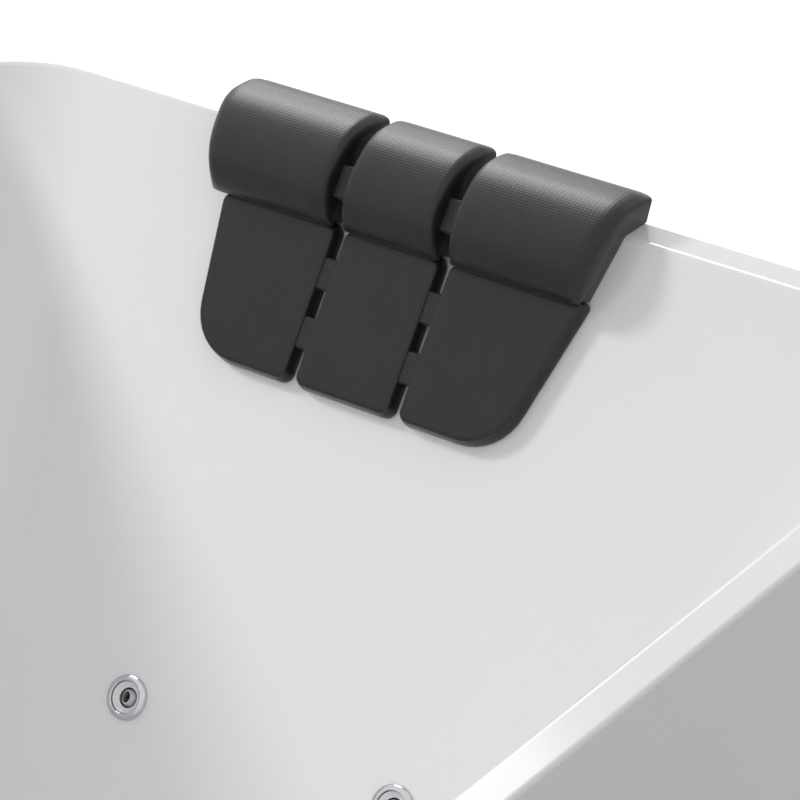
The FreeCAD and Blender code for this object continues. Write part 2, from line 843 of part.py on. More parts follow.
def make_jet_body(name, scale, along, rise):
    """The housing behind the wall with its water tee and, beside it, its air tee."""
    wall = cell.acrylic_wall
    depth = cell.jet_body_depth
    neck = cell.jet_neck_radius * scale
    radius = neck + cell.jet_body_wall
    outer = (cell.insert_radius * scale) + 0.3
    main = place(cylinder(name + "_barrel", radius, depth - wall), 0, 0, -depth)
    tee = rod_along(name + "_tee", cell.tee_radius, cell.tee_half_length * 2, along, z=-cell.tee_depth)
    air_x, air_y = (cell.air_tee_rise * rise, 0) if along == Y_AXIS else (0, cell.air_tee_rise * rise)
    air = rod_along(name + "_air_tee", cell.air_tee_radius, cell.air_tee_half_length * 2, along,
                    x=air_x, y=air_y, z=-cell.air_tee_depth)
    across = X_AXIS if along == Y_AXIS else Y_AXIS
    link = rod_along(name + "_air_link", cell.air_tee_radius - 1.5, cell.air_tee_rise, across,
                     x=air_x / 2, y=air_y / 2, z=-cell.air_tee_depth)
    hollow = place(cylinder(name + "_hollow", outer, depth - wall - 4), 0, 0, 4 - depth)
    water_bore = rod_along(name + "_tee_bore", cell.tee_radius - cell.hose_wall,
                           cell.tee_half_length * 2, along, z=-cell.tee_depth)
    return cut(name + "_housing", fused(name + "_outside", [main, tee, air, link]),
               [hollow, water_bore])


def make_jet_nut(name, scale):
    bore = cell.jet_neck_radius * scale + cell.jet_body_wall + cell.stud_clearance
    radius, wall = bore + cell.jet_nut_wall, cell.acrylic_wall
    return turned(name, [
        (bore, -wall - cell.jet_nut_height), (radius, -wall - cell.jet_nut_height), (radius, -wall),
        (bore, -wall)])


def make_jets():
    bezels, inserts, bodies, nuts = [], [], [], []
    scale = Size(1)
    for side, y in JET_YS.items():
        seat = (y, JET_DROP)
        keep(f"jet_bezel_{side}", on_head_wall(make_bezel(f"bezel_{side}", scale), *seat))
        nozzle = group(f"nozzle_seat_{side}", [make_nozzle(f"nozzle_{side}", scale, -cell.nozzle_tilt)])
        keep(f"jet_nozzle_{side}", on_head_wall(nozzle, *seat))
        inserts.append(on_head_wall(make_insert(f"insert_{side}", scale), *seat))
        body = group(f"body_seat_{side}", [make_jet_body(f"body_{side}", scale, Y_AXIS, 1)])
        bodies.append(on_head_wall(body, *seat))
        nuts.append(on_head_wall(make_jet_nut(f"jet_nut_{side}", scale), *seat))

    scale = cell.side_jet_scale
    for name, (x, side) in SIDE_JETS.items():
        seat = (x, SIDE_JET_DROP, side)
        bezels.append(on_side_wall(make_bezel(f"side_bezel_{name}", scale), *seat))
        nozzle = group(f"side_nozzle_seat_{name}", [make_nozzle(f"side_nozzle_{name}", scale, Size(0))])
        keep(f"side_jet_nozzle_{name}", on_side_wall(nozzle, *seat))
        inserts.append(on_side_wall(make_insert(f"side_insert_{name}", scale), *seat))
        body = group(f"side_body_seat_{name}", [make_jet_body(f"side_body_{name}", scale, X_AXIS, side)])
        bodies.append(on_side_wall(body, *seat))
        nuts.append(on_side_wall(make_jet_nut(f"side_nut_{name}", scale), *seat))
    keep("side_jet_bezels", group("side_jet_bezels", bezels))
    keep("jet_inserts", group("jet_inserts", inserts))
    keep("jet_bodies", group("jet_bodies", bodies))
    keep("jet_lock_nuts", group("jet_lock_nuts", nuts))


# ---------------------------------------------------------------- hoses and pipes

def behind_head(drop, depth, rise=0):
    """The x and z of a place behind the head wall, moved up the slope by the rise."""
    slope = cell.head_slope
    x = head_x(drop) + depth * cos(slope) + rise * sin(slope)
    return x, cell.tub_height - drop - depth * sin(slope) + rise * cos(slope)


def behind_side(drop, depth, rise=0):
    """The y and z of a place behind the far wall, moved up the slope by the rise."""
    slope = cell.side_slope
    y = side_y(drop) + depth * cos(slope) + rise * sin(slope)
    return y, cell.tub_height - drop - depth * sin(slope) + rise * cos(slope)


def route(points, bend):
    """Straight runs joined by tangent arcs of the bend, or smaller where a run is short."""
    points = [vector(*point) for point in points]
    edges, start = [], points[0]
    for before, corner, after in zip(points, points[1:], points[2:]):
        back, ahead = (before - corner).normalize(), (after - corner).normalize()
        half_turn = (math.pi - back.getAngle(ahead)) / 2
        shorter = min((before - corner).Length, (after - corner).Length)
        radius = min(float(bend), 0.45 * shorter / math.tan(half_turn))
        reach = radius * math.tan(half_turn)
        first, last = corner + back * reach, corner + ahead * reach
        inward = (back + ahead).normalize()
        middle = corner + inward * (radius / math.cos(half_turn) - radius)
        edges.append(Part.LineSegment(start, first).toShape())
        edges.append(Part.Arc(first, middle, last).toShape())
        start = last
    edges.append(Part.LineSegment(start, points[-1]).toShape())
    return Part.Wire(edges)


def swept(path, radius):
    """A round solid along a path."""
    start = path.Edges[0]
    ahead = start.tangentAt(start.FirstParameter)
    circle = Part.Circle(path.Vertexes[0].Point, ahead, float(radius))
    solid = path.makePipeShell([Part.Wire([circle.toShape()])], True, False)
    expected = math.pi * float(radius) ** 2 * path.Length
    if abs(solid.Volume - expected) > 0.01 * expected:
        raise RuntimeError("a hose's volume isn't its section times its length")
    return solid


def hose(points, radius, wall, bend):
    path = route(points, bend)
    return swept(path, radius).cut(swept(path, radius - wall))


def keep_shape(name, shape):
    """Keep a shape that was worked out in code from the sheet's sizes."""
    feature = doc.addObject("Part::Feature", name)
    feature.Shape = shape
    return keep(name, feature)


def loop_parts(half_tee, y, z, reach_x):
    """The hose runs that join the side jets: far side, round the foot end, near side."""
    foot, head = SIDE_JET_FOOT_X, SIDE_JET_HEAD_X
    return [
        [(head - half_tee, y, z), (foot + half_tee, y, z)],
        [(foot - half_tee, y, z), (reach_x, y, z), (reach_x, -y, z), (foot - half_tee, -y, z)],
        [(foot + half_tee, -y, z), (head - half_tee, -y, z)],
    ]


def make_hoses():
    loop_x = foot_x(SIDE_JET_DROP, cell.loop_depth)
    turn_x = HEAD_END - cell.loop_turn_inset
    side_jet_y, side_jet_z = behind_side(SIDE_JET_DROP, cell.tee_depth)
    back_x, back_z = behind_head(JET_DROP, cell.tee_depth)
    half, jet_y = cell.tee_half_length, cell.jet_spacing / 2
    head = SIDE_JET_HEAD_X
    out_x, out_y = PUMP_X - cell.outlet_offset, cell.pump_y + cell.volute_length / 2
    out_z = PUMP_LEVEL + cell.outlet_reach
    runs = loop_parts(half, side_jet_y, side_jet_z, loop_x)
    runs.append([(out_x, out_y, out_z), (out_x, out_y, side_jet_z), (out_x, side_jet_y, side_jet_z),
                 (head + half, side_jet_y, side_jet_z)])
    runs.append([(head + half, -side_jet_y, side_jet_z), (turn_x, -side_jet_y, side_jet_z),
                 (back_x, -side_jet_y, back_z), (back_x, -jet_y - half, back_z)])
    runs.append([(back_x, -jet_y + half, back_z), (back_x, jet_y - half, back_z)])
    hoses = [hose(points, cell.tee_radius, cell.hose_wall, cell.hose_bend) for points in runs]
    plug = Part.makeCylinder(cell.tee_radius, cell.hose_wall, vector(back_x, jet_y + half, back_z),
                             vector(*Y_AXIS))
    keep_shape("water_hoses", Part.makeCompound(hoses + [plug]))

    air_y, air_z = behind_side(SIDE_JET_DROP, cell.air_tee_depth, cell.air_tee_rise)
    back_x, back_z = behind_head(JET_DROP, cell.air_tee_depth, cell.air_tee_rise)
    half = cell.air_tee_half_length
    runs = loop_parts(half, air_y, air_z, loop_x)
    runs.append([(head + half, -air_y, air_z), (turn_x, -air_y, air_z), (back_x, -air_y, back_z),
                 (back_x, -jet_y - half, back_z)])
    runs.append([(back_x, -jet_y + half, back_z), (back_x, jet_y - half, back_z)])
    radius = cell.air_tee_radius
    hoses = [swept(route(points, cell.air_hose_bend), radius) for points in runs]
    valve_y, valve_z = behind_side(cell.control_drop, cell.control_port_depth, -cell.control_port_reach)
    branch = swept(route([(KNOB_X, valve_y, valve_z), (KNOB_X, air_y, air_z)], radius), radius)
    hoses[0] = hoses[0].fuse(branch)

    start_y, start_z = behind_side(cell.control_drop, cell.control_port_depth, -cell.control_body_radius)
    box_top = PUMP_LEVEL + cell.motor_radius / 2
    over_motor = PUMP_LEVEL + cell.motor_radius + cell.switch_tube_rise
    level = start_z - cell.air_hose_bend * 2
    lane_y = INSIDE_Y - cell.switch_tube_inset
    tube = route([(BUTTON_X, start_y, start_z), (BUTTON_X, lane_y, level),
                  (PUMP_X, lane_y, level), (PUMP_X, TERMINAL_Y, level),
                  (PUMP_X, TERMINAL_Y, over_motor), (TERMINAL_X, TERMINAL_Y, over_motor),
                  (TERMINAL_X, TERMINAL_Y, box_top)], cell.air_hose_bend)
    keep_shape("air_hoses", Part.makeCompound(hoses + [swept(tube, cell.switch_tube_radius)]))

    port_y, port_z = behind_side(SUCTION_DROP, cell.suction_port_depth)
    port_x = SUCTION_X + cell.suction_port_reach
    inlet_y = cell.pump_y + cell.volute_length + cell.inlet_length
    pump_x, level = PUMP_X, PUMP_LEVEL
    points = [(port_x, port_y, port_z), ((port_x + pump_x) / 2, port_y, port_z),
              (pump_x, port_y, level), (pump_x, inlet_y, level)]
    keep_shape("suction_pipe", hose(points, cell.suction_port_radius, cell.hose_wall, cell.hose_bend))


# ---------------------------------------------------------------- the suction fitting

def make_suction():
    wall, neck = cell.acrylic_wall, cell.suction_neck_radius
    chamber, depth = cell.suction_chamber_radius, cell.suction_chamber_depth
    skin = cell.hose_wall
    outside = turned("suction_outside", [
        (0, -depth), (chamber, -depth), (chamber, -wall), (neck - 0.2, -wall), (neck - 0.2, 0), (0, 0)])
    inside = turned("suction_inside", [
        (0, skin - depth), (chamber - skin, skin - depth), (chamber - skin, -wall - skin),
        (neck - skin, -wall - skin), (neck - skin, 1), (0, 1)])
    reach, level = cell.suction_port_reach, -cell.suction_port_depth
    port = rod_along("suction_port", cell.suction_port_radius, reach, X_AXIS, x=reach / 2, z=level)
    bore = rod_along("suction_port_bore", cell.suction_port_radius - skin, reach, X_AXIS, x=reach / 2,
                     z=level)
    body = cut("suction_housing", fused("suction_walls", [outside, port]), [inside, bore])
    seat = (SUCTION_X, SUCTION_DROP, 1)
    keep("suction_body", on_side_wall(group("suction_body", [body]), *seat))

    radius, high = cell.suction_radius, cell.suction_height
    cover = turned("suction_cover", [
        (0, high), (radius * 0.55, high * 0.93), (radius * 0.85, high * 0.68), (radius, high * 0.2),
        (radius, 0), (radius * 0.9, 0), (radius * 0.8, high * 0.42), (radius * 0.53, high * 0.66),
        (0, high * 0.72)])
    slot_sketch = new_sketch(cover, "suction_slot", "XY_Plane", high)
    half_slot = radius * 0.045
    draw_round_rectangle(slot_sketch, radius * 0.28, radius * 0.78, -half_slot, half_slot,
                         half_slot * 0.98)
    slot = pocket(cover, "suction_slot_cut", slot_sketch, high)
    ring_of(cover, "suction_slots", slot, slot_sketch, cell.suction_slots)
    keep("suction_cover", on_side_wall(cover, *seat))


# ---------------------------------------------------------------- the pump

def on_pump(thing):
    """Seat a piece on the pump's axis, its own Z along +Y and its own Y pointing down."""
    return place(thing, PUMP_X, cell.pump_y, PUMP_LEVEL, X_AXIS, -90)


TERMINAL_X = PUMP_X - cell.motor_radius - cell.terminal_height / 2
TERMINAL_Y = cell.pump_y - cell.motor_length / 2


def wheel(name, hub, disc, blades, count):
    """A hub with a disc and a ring of straight blades; hub and disc are (radius, low, high)."""
    body = turned(name, [
        (cell.shaft_radius, hub[1]), (hub[0], hub[1]), (hub[0], disc[1]), (disc[0], disc[1]),
        (disc[0], disc[2]), (hub[0], disc[2]), (hub[0], hub[2]), (cell.shaft_radius, hub[2])])
    blade_sketch = new_sketch(body, name + "_blade", "XY_Plane", disc[2])
    draw_rectangle(blade_sketch, hub[0] - 1, disc[0], -1, 1)
    blade = pad(body, name + "_blade_height", blade_sketch, blades)
    ring_of(body, name + "_blades", blade, blade_sketch, count)
    return body


def make_pump():
    half_shelf = cell.rail_spacing / 2 - cell.tube_side / 2 - 2
    half_width = cell.shelf_width / 2
    keep("pump_shelf", block("pump_shelf", (PUMP_X - half_width, PUMP_X + half_width),
                             (-half_shelf, half_shelf), (CROSS_TOP, SHELF_TOP)))

    radius, long, wall = cell.motor_radius, cell.motor_length, cell.motor_wall
    bearing = cell.shaft_radius + cell.shaft_clearance
    shell = turned("motor_shell", [
        (bearing, 0), (radius, 0), (radius, -long), (bearing, -long), (bearing, wall - long),
        (radius - wall, wall - long), (radius - wall, -wall), (bearing, -wall)])
    base = block("motor_base", (-radius * 0.8, radius * 0.8), (radius * 0.8, cell.pump_rise),
                 (-long * 0.85, -long * 0.15))
    box = block("terminal_box", (-radius - cell.terminal_height, -radius * 0.8), (-radius / 2, radius / 2),
                (-long * 0.75, -long * 0.25))
    bore = cylinder("motor_bore", radius - wall, long - wall * 2)
    place(bore, 0, 0, wall - long)
    housing = cut("motor_walls", fused("motor_outside", [shell, base, box]), [bore])
    keep("motor_housing", on_pump(group("motor_housing", [housing])))
    stator = turned("stator", [
        (cell.rotor_radius + cell.running_gap, -long * 0.8), (radius - wall, -long * 0.8),
        (radius - wall, -long * 0.2), (cell.rotor_radius + cell.running_gap, -long * 0.2)])
    keep("motor_stator", on_pump(stator))
    shaft, rotor = cell.shaft_radius, cell.rotor_radius
    rotor_low, rotor_high = -(long + cell.rotor_length) / 2, (cell.rotor_length - long) / 2
    core = turned("rotor", [
        (0, -long - cell.fan_cover_length * 0.6), (shaft, -long - cell.fan_cover_length * 0.6),
        (shaft, rotor_low), (rotor, rotor_low), (rotor, rotor_high), (shaft, rotor_high),
        (shaft, cell.volute_length * 0.55), (0, cell.volute_length * 0.55)])
    keep("motor_rotor", on_pump(core))

    volute, skin, deep = cell.volute_radius, cell.volute_wall, cell.volute_length
    inlet = cell.suction_port_radius
    outside = turned("volute_outside", [
        (bearing, 0), (volute, 0), (volute, deep), (inlet, deep), (inlet, deep + cell.inlet_length),
        (inlet - skin, deep + cell.inlet_length), (inlet - skin, deep - skin), (volute - skin, deep - skin),
        (volute - skin, skin), (bearing, skin)])
    reach, offset = cell.outlet_reach, -cell.outlet_offset
    outlet = place(cylinder("outlet", cell.tee_radius, reach), offset, 0, deep / 2, X_AXIS, 90)
    outlet_bore = place(cylinder("outlet_bore", cell.tee_radius - cell.hose_wall, reach),
                        offset, 0, deep / 2, X_AXIS, 90)
    chamber = place(cylinder("volute_chamber", volute - skin, deep - skin * 2), 0, 0, skin)
    body = cut("volute_walls", fused("volute_with_outlet", [outside, outlet]), [outlet_bore, chamber])
    keep("pump_volute", on_pump(group("pump_volute", [body])))
    blades = deep * 0.25
    impeller = wheel("impeller", (shaft * 1.7, skin * 2, deep * 0.5),
                     (cell.impeller_radius, skin * 2 + 1, skin * 2 + 4), blades, cell.impeller_blades)
    keep("pump_impeller", on_pump(impeller))

    cover = cell.fan_cover_length
    fan = wheel("fan", (shaft * 1.7, -long - cover * 0.55, -long - cover * 0.15),
                (cell.fan_radius, -long - cover * 0.5, -long - cover * 0.45), cover * 0.28, cell.fan_blades)
    keep("motor_fan", on_pump(fan))
    thin = wall / 2
    hood = turned("fan_hood", [
        (0, -long - cover), (radius, -long - cover), (radius, -long), (radius - thin, -long),
        (radius - thin, thin - long - cover), (0, thin - long - cover)])
    hole_sketch = new_sketch(hood, "hood_slot", "XY_Plane", thin - long - cover)
    draw_round_rectangle(hole_sketch, radius * 0.25, radius * 0.85, -3, 3, 2.9)
    slot = pocket(hood, "hood_slot_cut", hole_sketch, wall)
    ring_of(hood, "hood_slots", slot, hole_sketch, cell.hood_slots)
    keep("fan_cover", on_pump(hood))

    gland, bore = cell.gland_radius, cell.gland_bore
    body = turned("gland", [
        (bore, 0), (gland, 0), (gland, cell.gland_length * 0.6), (gland * 0.75, cell.gland_length),
        (bore, cell.gland_length)])
    keep("cable_gland", place(body, TERMINAL_X, TERMINAL_Y, PUMP_LEVEL - radius / 2, X_AXIS, 180))


# ---------------------------------------------------------------- the controls

def make_controls():
    neck, deep = cell.control_body_radius - 0.1, cell.control_body_depth
    wide, high = cell.control_bezel_width, cell.control_bezel_height
    button = cell.button_radius - 1
    slot = button + 0.2
    seat = (BUTTON_X, cell.control_drop, 1)
    housing = turned("button_housing", [
        (slot, high), (neck + wide * 0.2, high), (neck + wide, high * 0.4), (neck + wide, 0), (neck, 0),
        (neck, -deep), (0, -deep), (0, 2 - deep), (slot, 2 - deep)])
    keep("air_button_housing", on_side_wall(housing, *seat))
    face, foot = high + cell.button_travel - 1, cell.button_travel + 6 - deep
    body = turned("button", [
        (0, face), (button - 2, face), (button, face - 1.5), (button, foot), (0, foot)])
    keep("air_button", on_side_wall(body, *seat))

    seat = (KNOB_X, cell.control_drop, 1)
    stem, gap = cell.knob_stem_radius, cell.shaft_clearance
    valve = turned("valve_barrel", [
        (stem + gap, wide * 0.2), (neck + wide, wide * 0.2), (neck + wide, 0), (neck, 0), (neck, -deep),
        (0, -deep), (0, 3 - deep), (stem + gap, 3 - deep)])
    port = rod_along("valve_port", cell.air_tee_radius, cell.control_port_reach, Y_AXIS,
                     y=-cell.control_port_reach / 2, z=-cell.control_port_depth)
    stem_room = place(cylinder("stem_room", stem + gap, deep - 2), 0, 0, 3 - deep)
    body = cut("valve_walls", fused("valve_outside", [valve, port]), [stem_room])
    keep("air_valve_body", on_side_wall(group("air_valve_body", [body]), *seat))
    radius, high = cell.knob_radius, cell.knob_height
    knob = turned("knob", [
        (0, high), (radius * 0.75, high), (radius * 0.93, high * 0.88), (radius, high * 0.2),
        (radius, 1.5), (stem, 1.5), (stem, 4 - deep), (0, 4 - deep)])
    grip_sketch = new_sketch(knob, "grip", "XY_Plane", high)
    draw_circle(grip_sketch, radius * 1.06, 0, radius * 0.16)
    grip = pocket(knob, "grip_cut", grip_sketch, high * 0.75)
    ring_of(knob, "grips", grip, grip_sketch, cell.knob_grips)
    keep("air_knob", on_side_wall(knob, *seat))


# ---------------------------------------------------------------- the waste and overflow

def make_waste():
    bore, radius, waste = cell.drain_bore, cell.drain_radius, cell.waste_radius
    neck, wall, deep = bore + cell.drain_neck_wall, cell.acrylic_wall, cell.drain_depth
    lip, neck_end = cell.drain_lip, -wall - cell.drain_neck_depth
    flange = turned("drain_flange", [
        (bore, lip * 0.6), (radius * 0.88, lip), (radius, lip * 0.32), (radius, 0), (neck, 0),
        (neck, neck_end), (bore, neck_end)])
    keep("drain_flange", on_floor(flange, DRAIN_X))
    room_radius, mouth = neck + cell.drain_fit + 1, neck + cell.drain_fit / 2
    cup, tail = room_radius + cell.drain_cup_wall, waste - cell.pipe_wall
    outside = turned("drain_outside", [
        (mouth, -wall), (cup, -wall), (cup, -deep * 0.52), (waste, -deep * 0.6), (waste, -deep),
        (tail, -deep), (tail, -deep * 0.58), (room_radius, -deep * 0.49), (room_radius, neck_end - 1),
        (mouth, neck_end - 1)])
    reach, level = cell.drain_port_reach, -cell.drain_port_depth
    port = rod_along("drain_port", cell.overflow_pipe_radius, reach - bore, X_AXIS,
                     x=-(reach + bore) / 2, z=level)
    port_bore = rod_along("drain_port_bore", cell.overflow_pipe_radius - cell.pipe_wall, reach - bore + 2,
                          X_AXIS, x=-(reach + bore) / 2, z=level)
    room = place(cylinder("drain_room", room_radius, deep * 0.3), 0, 0, -deep * 0.49)
    body = cut("drain_walls", fused("drain_with_port", [outside, port]), [port_bore, room])
    keep("drain_body", on_floor(group("drain_body", [body]), DRAIN_X))
    cap = cell.stopper_radius
    stopper = turned("stopper", [
        (0, 6.5), (cap * 0.6, 6), (cap * 0.93, 4.6), (cap, 3.4), (cap, 2.8), (bore - 2, 2.8),
        (bore - 3.5, -2), (4, -2), (4, -deep * 0.4), (0, -deep * 0.4)])
    keep("drain_stopper", on_floor(stopper, DRAIN_X))

    stem, gap = cell.knob_stem_radius, cell.shaft_clearance
    cup, deep = cell.overflow_body_radius, cell.overflow_body_depth
    neck = cup - cell.overflow_shoulder - cell.drain_fit
    shell = turned("overflow_shell", [
        (stem + gap, -wall - 2), (stem + 3, -wall - 2), (stem + 3, 3 - deep), (cup - 8, 3 - deep),
        (cup - 8, 1.5), (cup + 2, 1.5), (cup + 2, 0), (neck, 0), (neck, -wall), (cup, -wall),
        (cup, -deep), (0, -deep), (0, 4.5 - deep), (stem + gap, 4.5 - deep)])
    shell = on_foot_wall(shell, 0, cell.overflow_drop)
    pipe_x = cell.overflow_pipe_inset - cell.tub_length / 2
    drop = cell.overflow_port_drop
    spout_z = cell.tub_height - cell.overflow_drop - drop
    outer, inner = cell.overflow_pipe_radius, cell.overflow_pipe_radius - cell.pipe_wall
    spout = place(cylinder("overflow_spout", outer, drop * 0.6), pipe_x, 0, spout_z)
    spout_bore = place(cylinder("overflow_spout_bore", inner, drop * 0.5), pipe_x, 0, spout_z)
    port_z = FLOOR_LEVEL - cell.drain_port_depth
    points = [(DRAIN_X - cell.drain_port_reach, 0, port_z), (pipe_x, 0, port_z), (pipe_x, 0, spout_z)]
    pipe = doc.addObject("Part::Feature", "overflow_pipe")
    pipe.Shape = hose(points, outer, cell.pipe_wall, cell.overflow_pipe_bend)
    room = on_foot_wall(group("overflow_room_seat", [
        place(cut("overflow_room", cylinder("overflow_bowl", cup - 8, deep - 3),
                  [cylinder("overflow_boss", stem + 3, deep - 5 - wall)]), 0, 0, 3 - deep)]), 0,
        cell.overflow_drop)
    cup_and_spout = cut("overflow_cup", fused("overflow_outside", [shell, spout]), [spout_bore, room])
    keep("overflow_body", fused("overflow_body", [cup_and_spout, pipe]))
    radius, high = cell.overflow_radius, cell.overflow_height
    knob = turned("overflow_knob", [
        (0, high), (radius * 0.85, high * 0.95), (radius, high * 0.7), (radius, high * 0.3),
        (radius * 0.88, high * 0.3), (radius * 0.85, high * 0.7), (stem, high * 0.75),
        (stem, 5.5 - deep), (0, 5.5 - deep)])
    grip_sketch = new_sketch(knob, "overflow_grip", "XY_Plane", high)
    draw_circle(grip_sketch, radius * 1.08, 0, radius * 0.2)
    grip = pocket(knob, "overflow_grip_cut", grip_sketch, high)
    ring_of(knob, "overflow_grips", grip, grip_sketch, cell.overflow_grips)
    keep("overflow_knob", on_foot_wall(knob, 0, cell.overflow_drop))


# ---------------------------------------------------------------- the headrest

def on_slope(distance, height):
    """The x and z, from the rim's inner edge, of a place down the head wall and off its face."""
    slope = cell.head_slope
    return (-distance * sin(slope) - height * cos(slope), -distance * cos(slope) + height * sin(slope))


def roll_outlines():
    """A roll's thin outline at its ends and its swollen one, in matching places from the rim's edge."""
    back, slab, high = cell.rim_width - 1, cell.roll_slab, cell.roll_height
    rim, front, drop, lip = cell.rim_width, cell.roll_front, cell.roll_drop, cell.pad_thickness + cell.lip_gap
    thin = [(back, slab), (rim * 0.56, slab), (rim * 0.12, slab), (-slab * 0.26, slab * 0.97),
            (-slab * 0.62, slab * 0.79), on_slope(drop * 0.11, slab), on_slope(drop * 0.37, slab),
            on_slope(drop * 0.65, slab), on_slope(drop * 0.91, slab * 0.97),
            on_slope(drop * 1.08, slab * 0.92), on_slope(drop * 1.115, lip)]
    full = [(back, cell.roll_back_height), (rim * 0.56, high * 0.965), (rim * 0.12, high),
            (-front * 0.19, high * 0.965), (-front * 0.44, high * 0.785), (-front * 0.69, high * 0.44),
            (-front * 0.885, high * 0.04), (-front * 0.99, -drop * 0.26), (-front * 0.985, -drop * 0.56),
            (-front * 0.905, -drop * 0.73), on_slope(drop * 1.11, lip)]
    return thin, full


def make_roll(low_end, high_end):
    """A roll over the rim between two end planes, each given by (y, lean with the height, fall)."""
    edge_x, edge_z, gap = HEAD_END - cell.rim_width, cell.tub_height, cell.headrest_gap
    (low, low_lean, low_fall), (high, high_lean, high_fall) = low_end, high_end
    length = float(high - low)
    thin, full = roll_outlines()
    under = [on_slope(cell.roll_drop * 1.03, cell.pad_thickness + cell.lip_gap),
             on_slope(cell.roll_drop * 1.01, gap), (0, gap), (cell.rim_width - 1, gap)]
    lengths = [math.dist(one, other) for one, other in zip(full, full[1:])]
    along = [sum(lengths[:count]) / sum(lengths) for count in range(len(full))]
    steps = (0, 0.06, 0.25, 0.6, 1, 1.6)
    reaches = [step * low_fall for step in steps] + [length / 2]
    reaches += [length - step * high_fall for step in reversed(steps)]
    sections = []
    for reach in reaches:
        share = float(reach) / length
        flat = max(1 - reach / low_fall, 1 - (length - reach) / high_fall, 0)
        fullness = (1 - min(float(flat), 1) ** 2.3) ** (1 / 2.3)
        points = [(a[0] + (b[0] - a[0]) * fullness, a[1] + (b[1] - a[1]) * fullness)
                  for a, b in zip(thin, full)]
        corners = []
        for x, z in points + under:
            start, end = low + low_lean * z, high + high_lean * z
            corners.append(vector(edge_x + x, start + (end - start) * share, edge_z + z))
        crown, corners = corners[:len(points)], corners[len(points) - 1:] + corners[:1]
        spline = Part.BSplineCurve()
        spline.interpolate(Points=crown, Parameters=along)
        lines = [Part.LineSegment(*ends).toShape() for ends in zip(corners, corners[1:])]
        sections.append(Part.Wire([spline.toShape()] + lines))
    return Part.makeLoft(sections, True, False)


def rounded_outline(corners, radii, level):
    """A closed wire through the corners, each rounded by its radius, at one level."""
    edges, arcs = [], []
    for index, (corner, radius) in enumerate(zip(corners, radii)):
        back = (corners[index - 1] - corner).normalize()
        ahead = (corners[(index + 1) % len(corners)] - corner).normalize()
        half_turn = (math.pi - back.getAngle(ahead)) / 2
        reach = radius * math.tan(half_turn)
        middle = corner + (back + ahead).normalize() * (radius / math.cos(half_turn) - radius)
        arcs.append([point + vector(0, 0, level) for point in
                     (corner + back * reach, middle, corner + ahead * reach)])
    for index, arc in enumerate(arcs):
        edges.append(Part.Arc(*arc).toShape())
        edges.append(Part.LineSegment(arc[2], arcs[(index + 1) % len(arcs)][0]).toShape())
    return Part.Wire(edges)


def make_pad(corners, radii):
    """A flat cushion on the slope with a rounded edge."""
    thick, gap = float(cell.pad_thickness), float(cell.headrest_gap)
    slab = Part.Face(rounded_outline(corners, radii, gap)).extrude(vector(0, 0, thick - gap))
    around = [edge for edge in slab.Edges if is_level_at(edge, thick)]
    return slab.makeFillet(float(cell.pad_edge_radius), around)


def make_headrest():
    centre, half_roll, half_pad = cell.headrest_y, cell.roll_width / 2, cell.pad_width / 2
    inner_roll, inner_pad = half_roll + cell.roll_gap, half_pad + cell.pad_gap
    reach, lean, outer, inner = (cell.roll_outer_reach, tan(cell.roll_end_lean), cell.roll_outer_fall,
                                 cell.roll_inner_fall)
    rolls = {"right": ((centre - reach, -lean, outer), (centre - inner_roll, 0, inner)),
             "centre": ((centre - half_roll, 0, inner), (centre + half_roll, 0, inner)),
             "left": ((centre + inner_roll, 0, inner), (centre + reach, lean, outer))}
    for name, ends in rolls.items():
        keep_shape(f"headrest_roll_{name}", make_roll(*ends))

    top, bottom = -cell.pad_top, -cell.pad_bottom
    small, large = float(cell.pad_corner_radius), float(cell.pad_round_corner_radius)
    pads = {
        "right": ([(top, -cell.pad_right_top), (top, -inner_pad), (bottom, -inner_pad),
                   (bottom, -cell.pad_right_bottom)],
                  [small, small, small, large]),
        "centre": ([(top, -half_pad), (top, half_pad), (bottom, half_pad), (bottom, -half_pad)],
                   [small, small, small, small]),
        "left": ([(top, inner_pad), (top, cell.pad_left_top), (bottom, cell.pad_left_bottom),
                  (bottom, inner_pad)],
                 [small, small, large, small]),
    }
    cups = []
    for name, (corners, radii) in pads.items():
        corners = [vector(x, centre + y, 0) for x, y in corners]
        middle = sum(corners, vector(0, 0, 0)) * (1 / len(corners))
        room = Part.makeCylinder(cell.cup_radius + 0.1, cell.cup_height + cell.headrest_gap, middle)
        cushion = doc.addObject("Part::Feature", f"headrest_pad_{name}")
        cushion.Shape = make_pad(corners, radii).cut(room)
        keep(f"headrest_pad_{name}", on_head_wall(cushion, 0, Size(0)))
        cup = turned(f"suction_cup_{name}", [
            (0, 2), (cell.cup_radius * 0.6, 1.5), (cell.cup_radius, 0), (cell.cup_radius, 1),
            (cell.cup_radius * 0.5, cell.cup_height * 0.6), (cell.cup_radius * 0.4, cell.cup_height),
            (0, cell.cup_height)])
        cups.append(place(cup, middle.x, middle.y, cell.headrest_gap))
    seat = group("suction_cup_seat", cups)
    keep("headrest_suction_cups", on_head_wall(seat, 0, Size(0)))

    webs = []
    roll_web = (cell.roll_web_length / 2, cell.roll_web_height, half_roll, inner_roll)
    pad_web = (cell.pad_web_length / 2, cell.pad_web_height, half_pad, inner_pad)
    rows = ((cell.roll_web_drop, roll_web), (cell.upper_web_drop, pad_web), (cell.lower_web_drop, pad_web))
    for row, (drop, (half_web, height, near, far)) in enumerate(rows, start=1):
        for side_name, side in (("right", -1), ("left", 1)):
            y_span = ordered(centre + (near - cell.web_embed) * side, centre + (far + cell.web_embed) * side)
            webs.append(block(f"web_{row}_{side_name}", (-drop - half_web, -drop + half_web), y_span,
                              (cell.headrest_gap, height)))
    keep("headrest_webs", on_head_wall(group("headrest_webs", webs), 0, Size(0)))


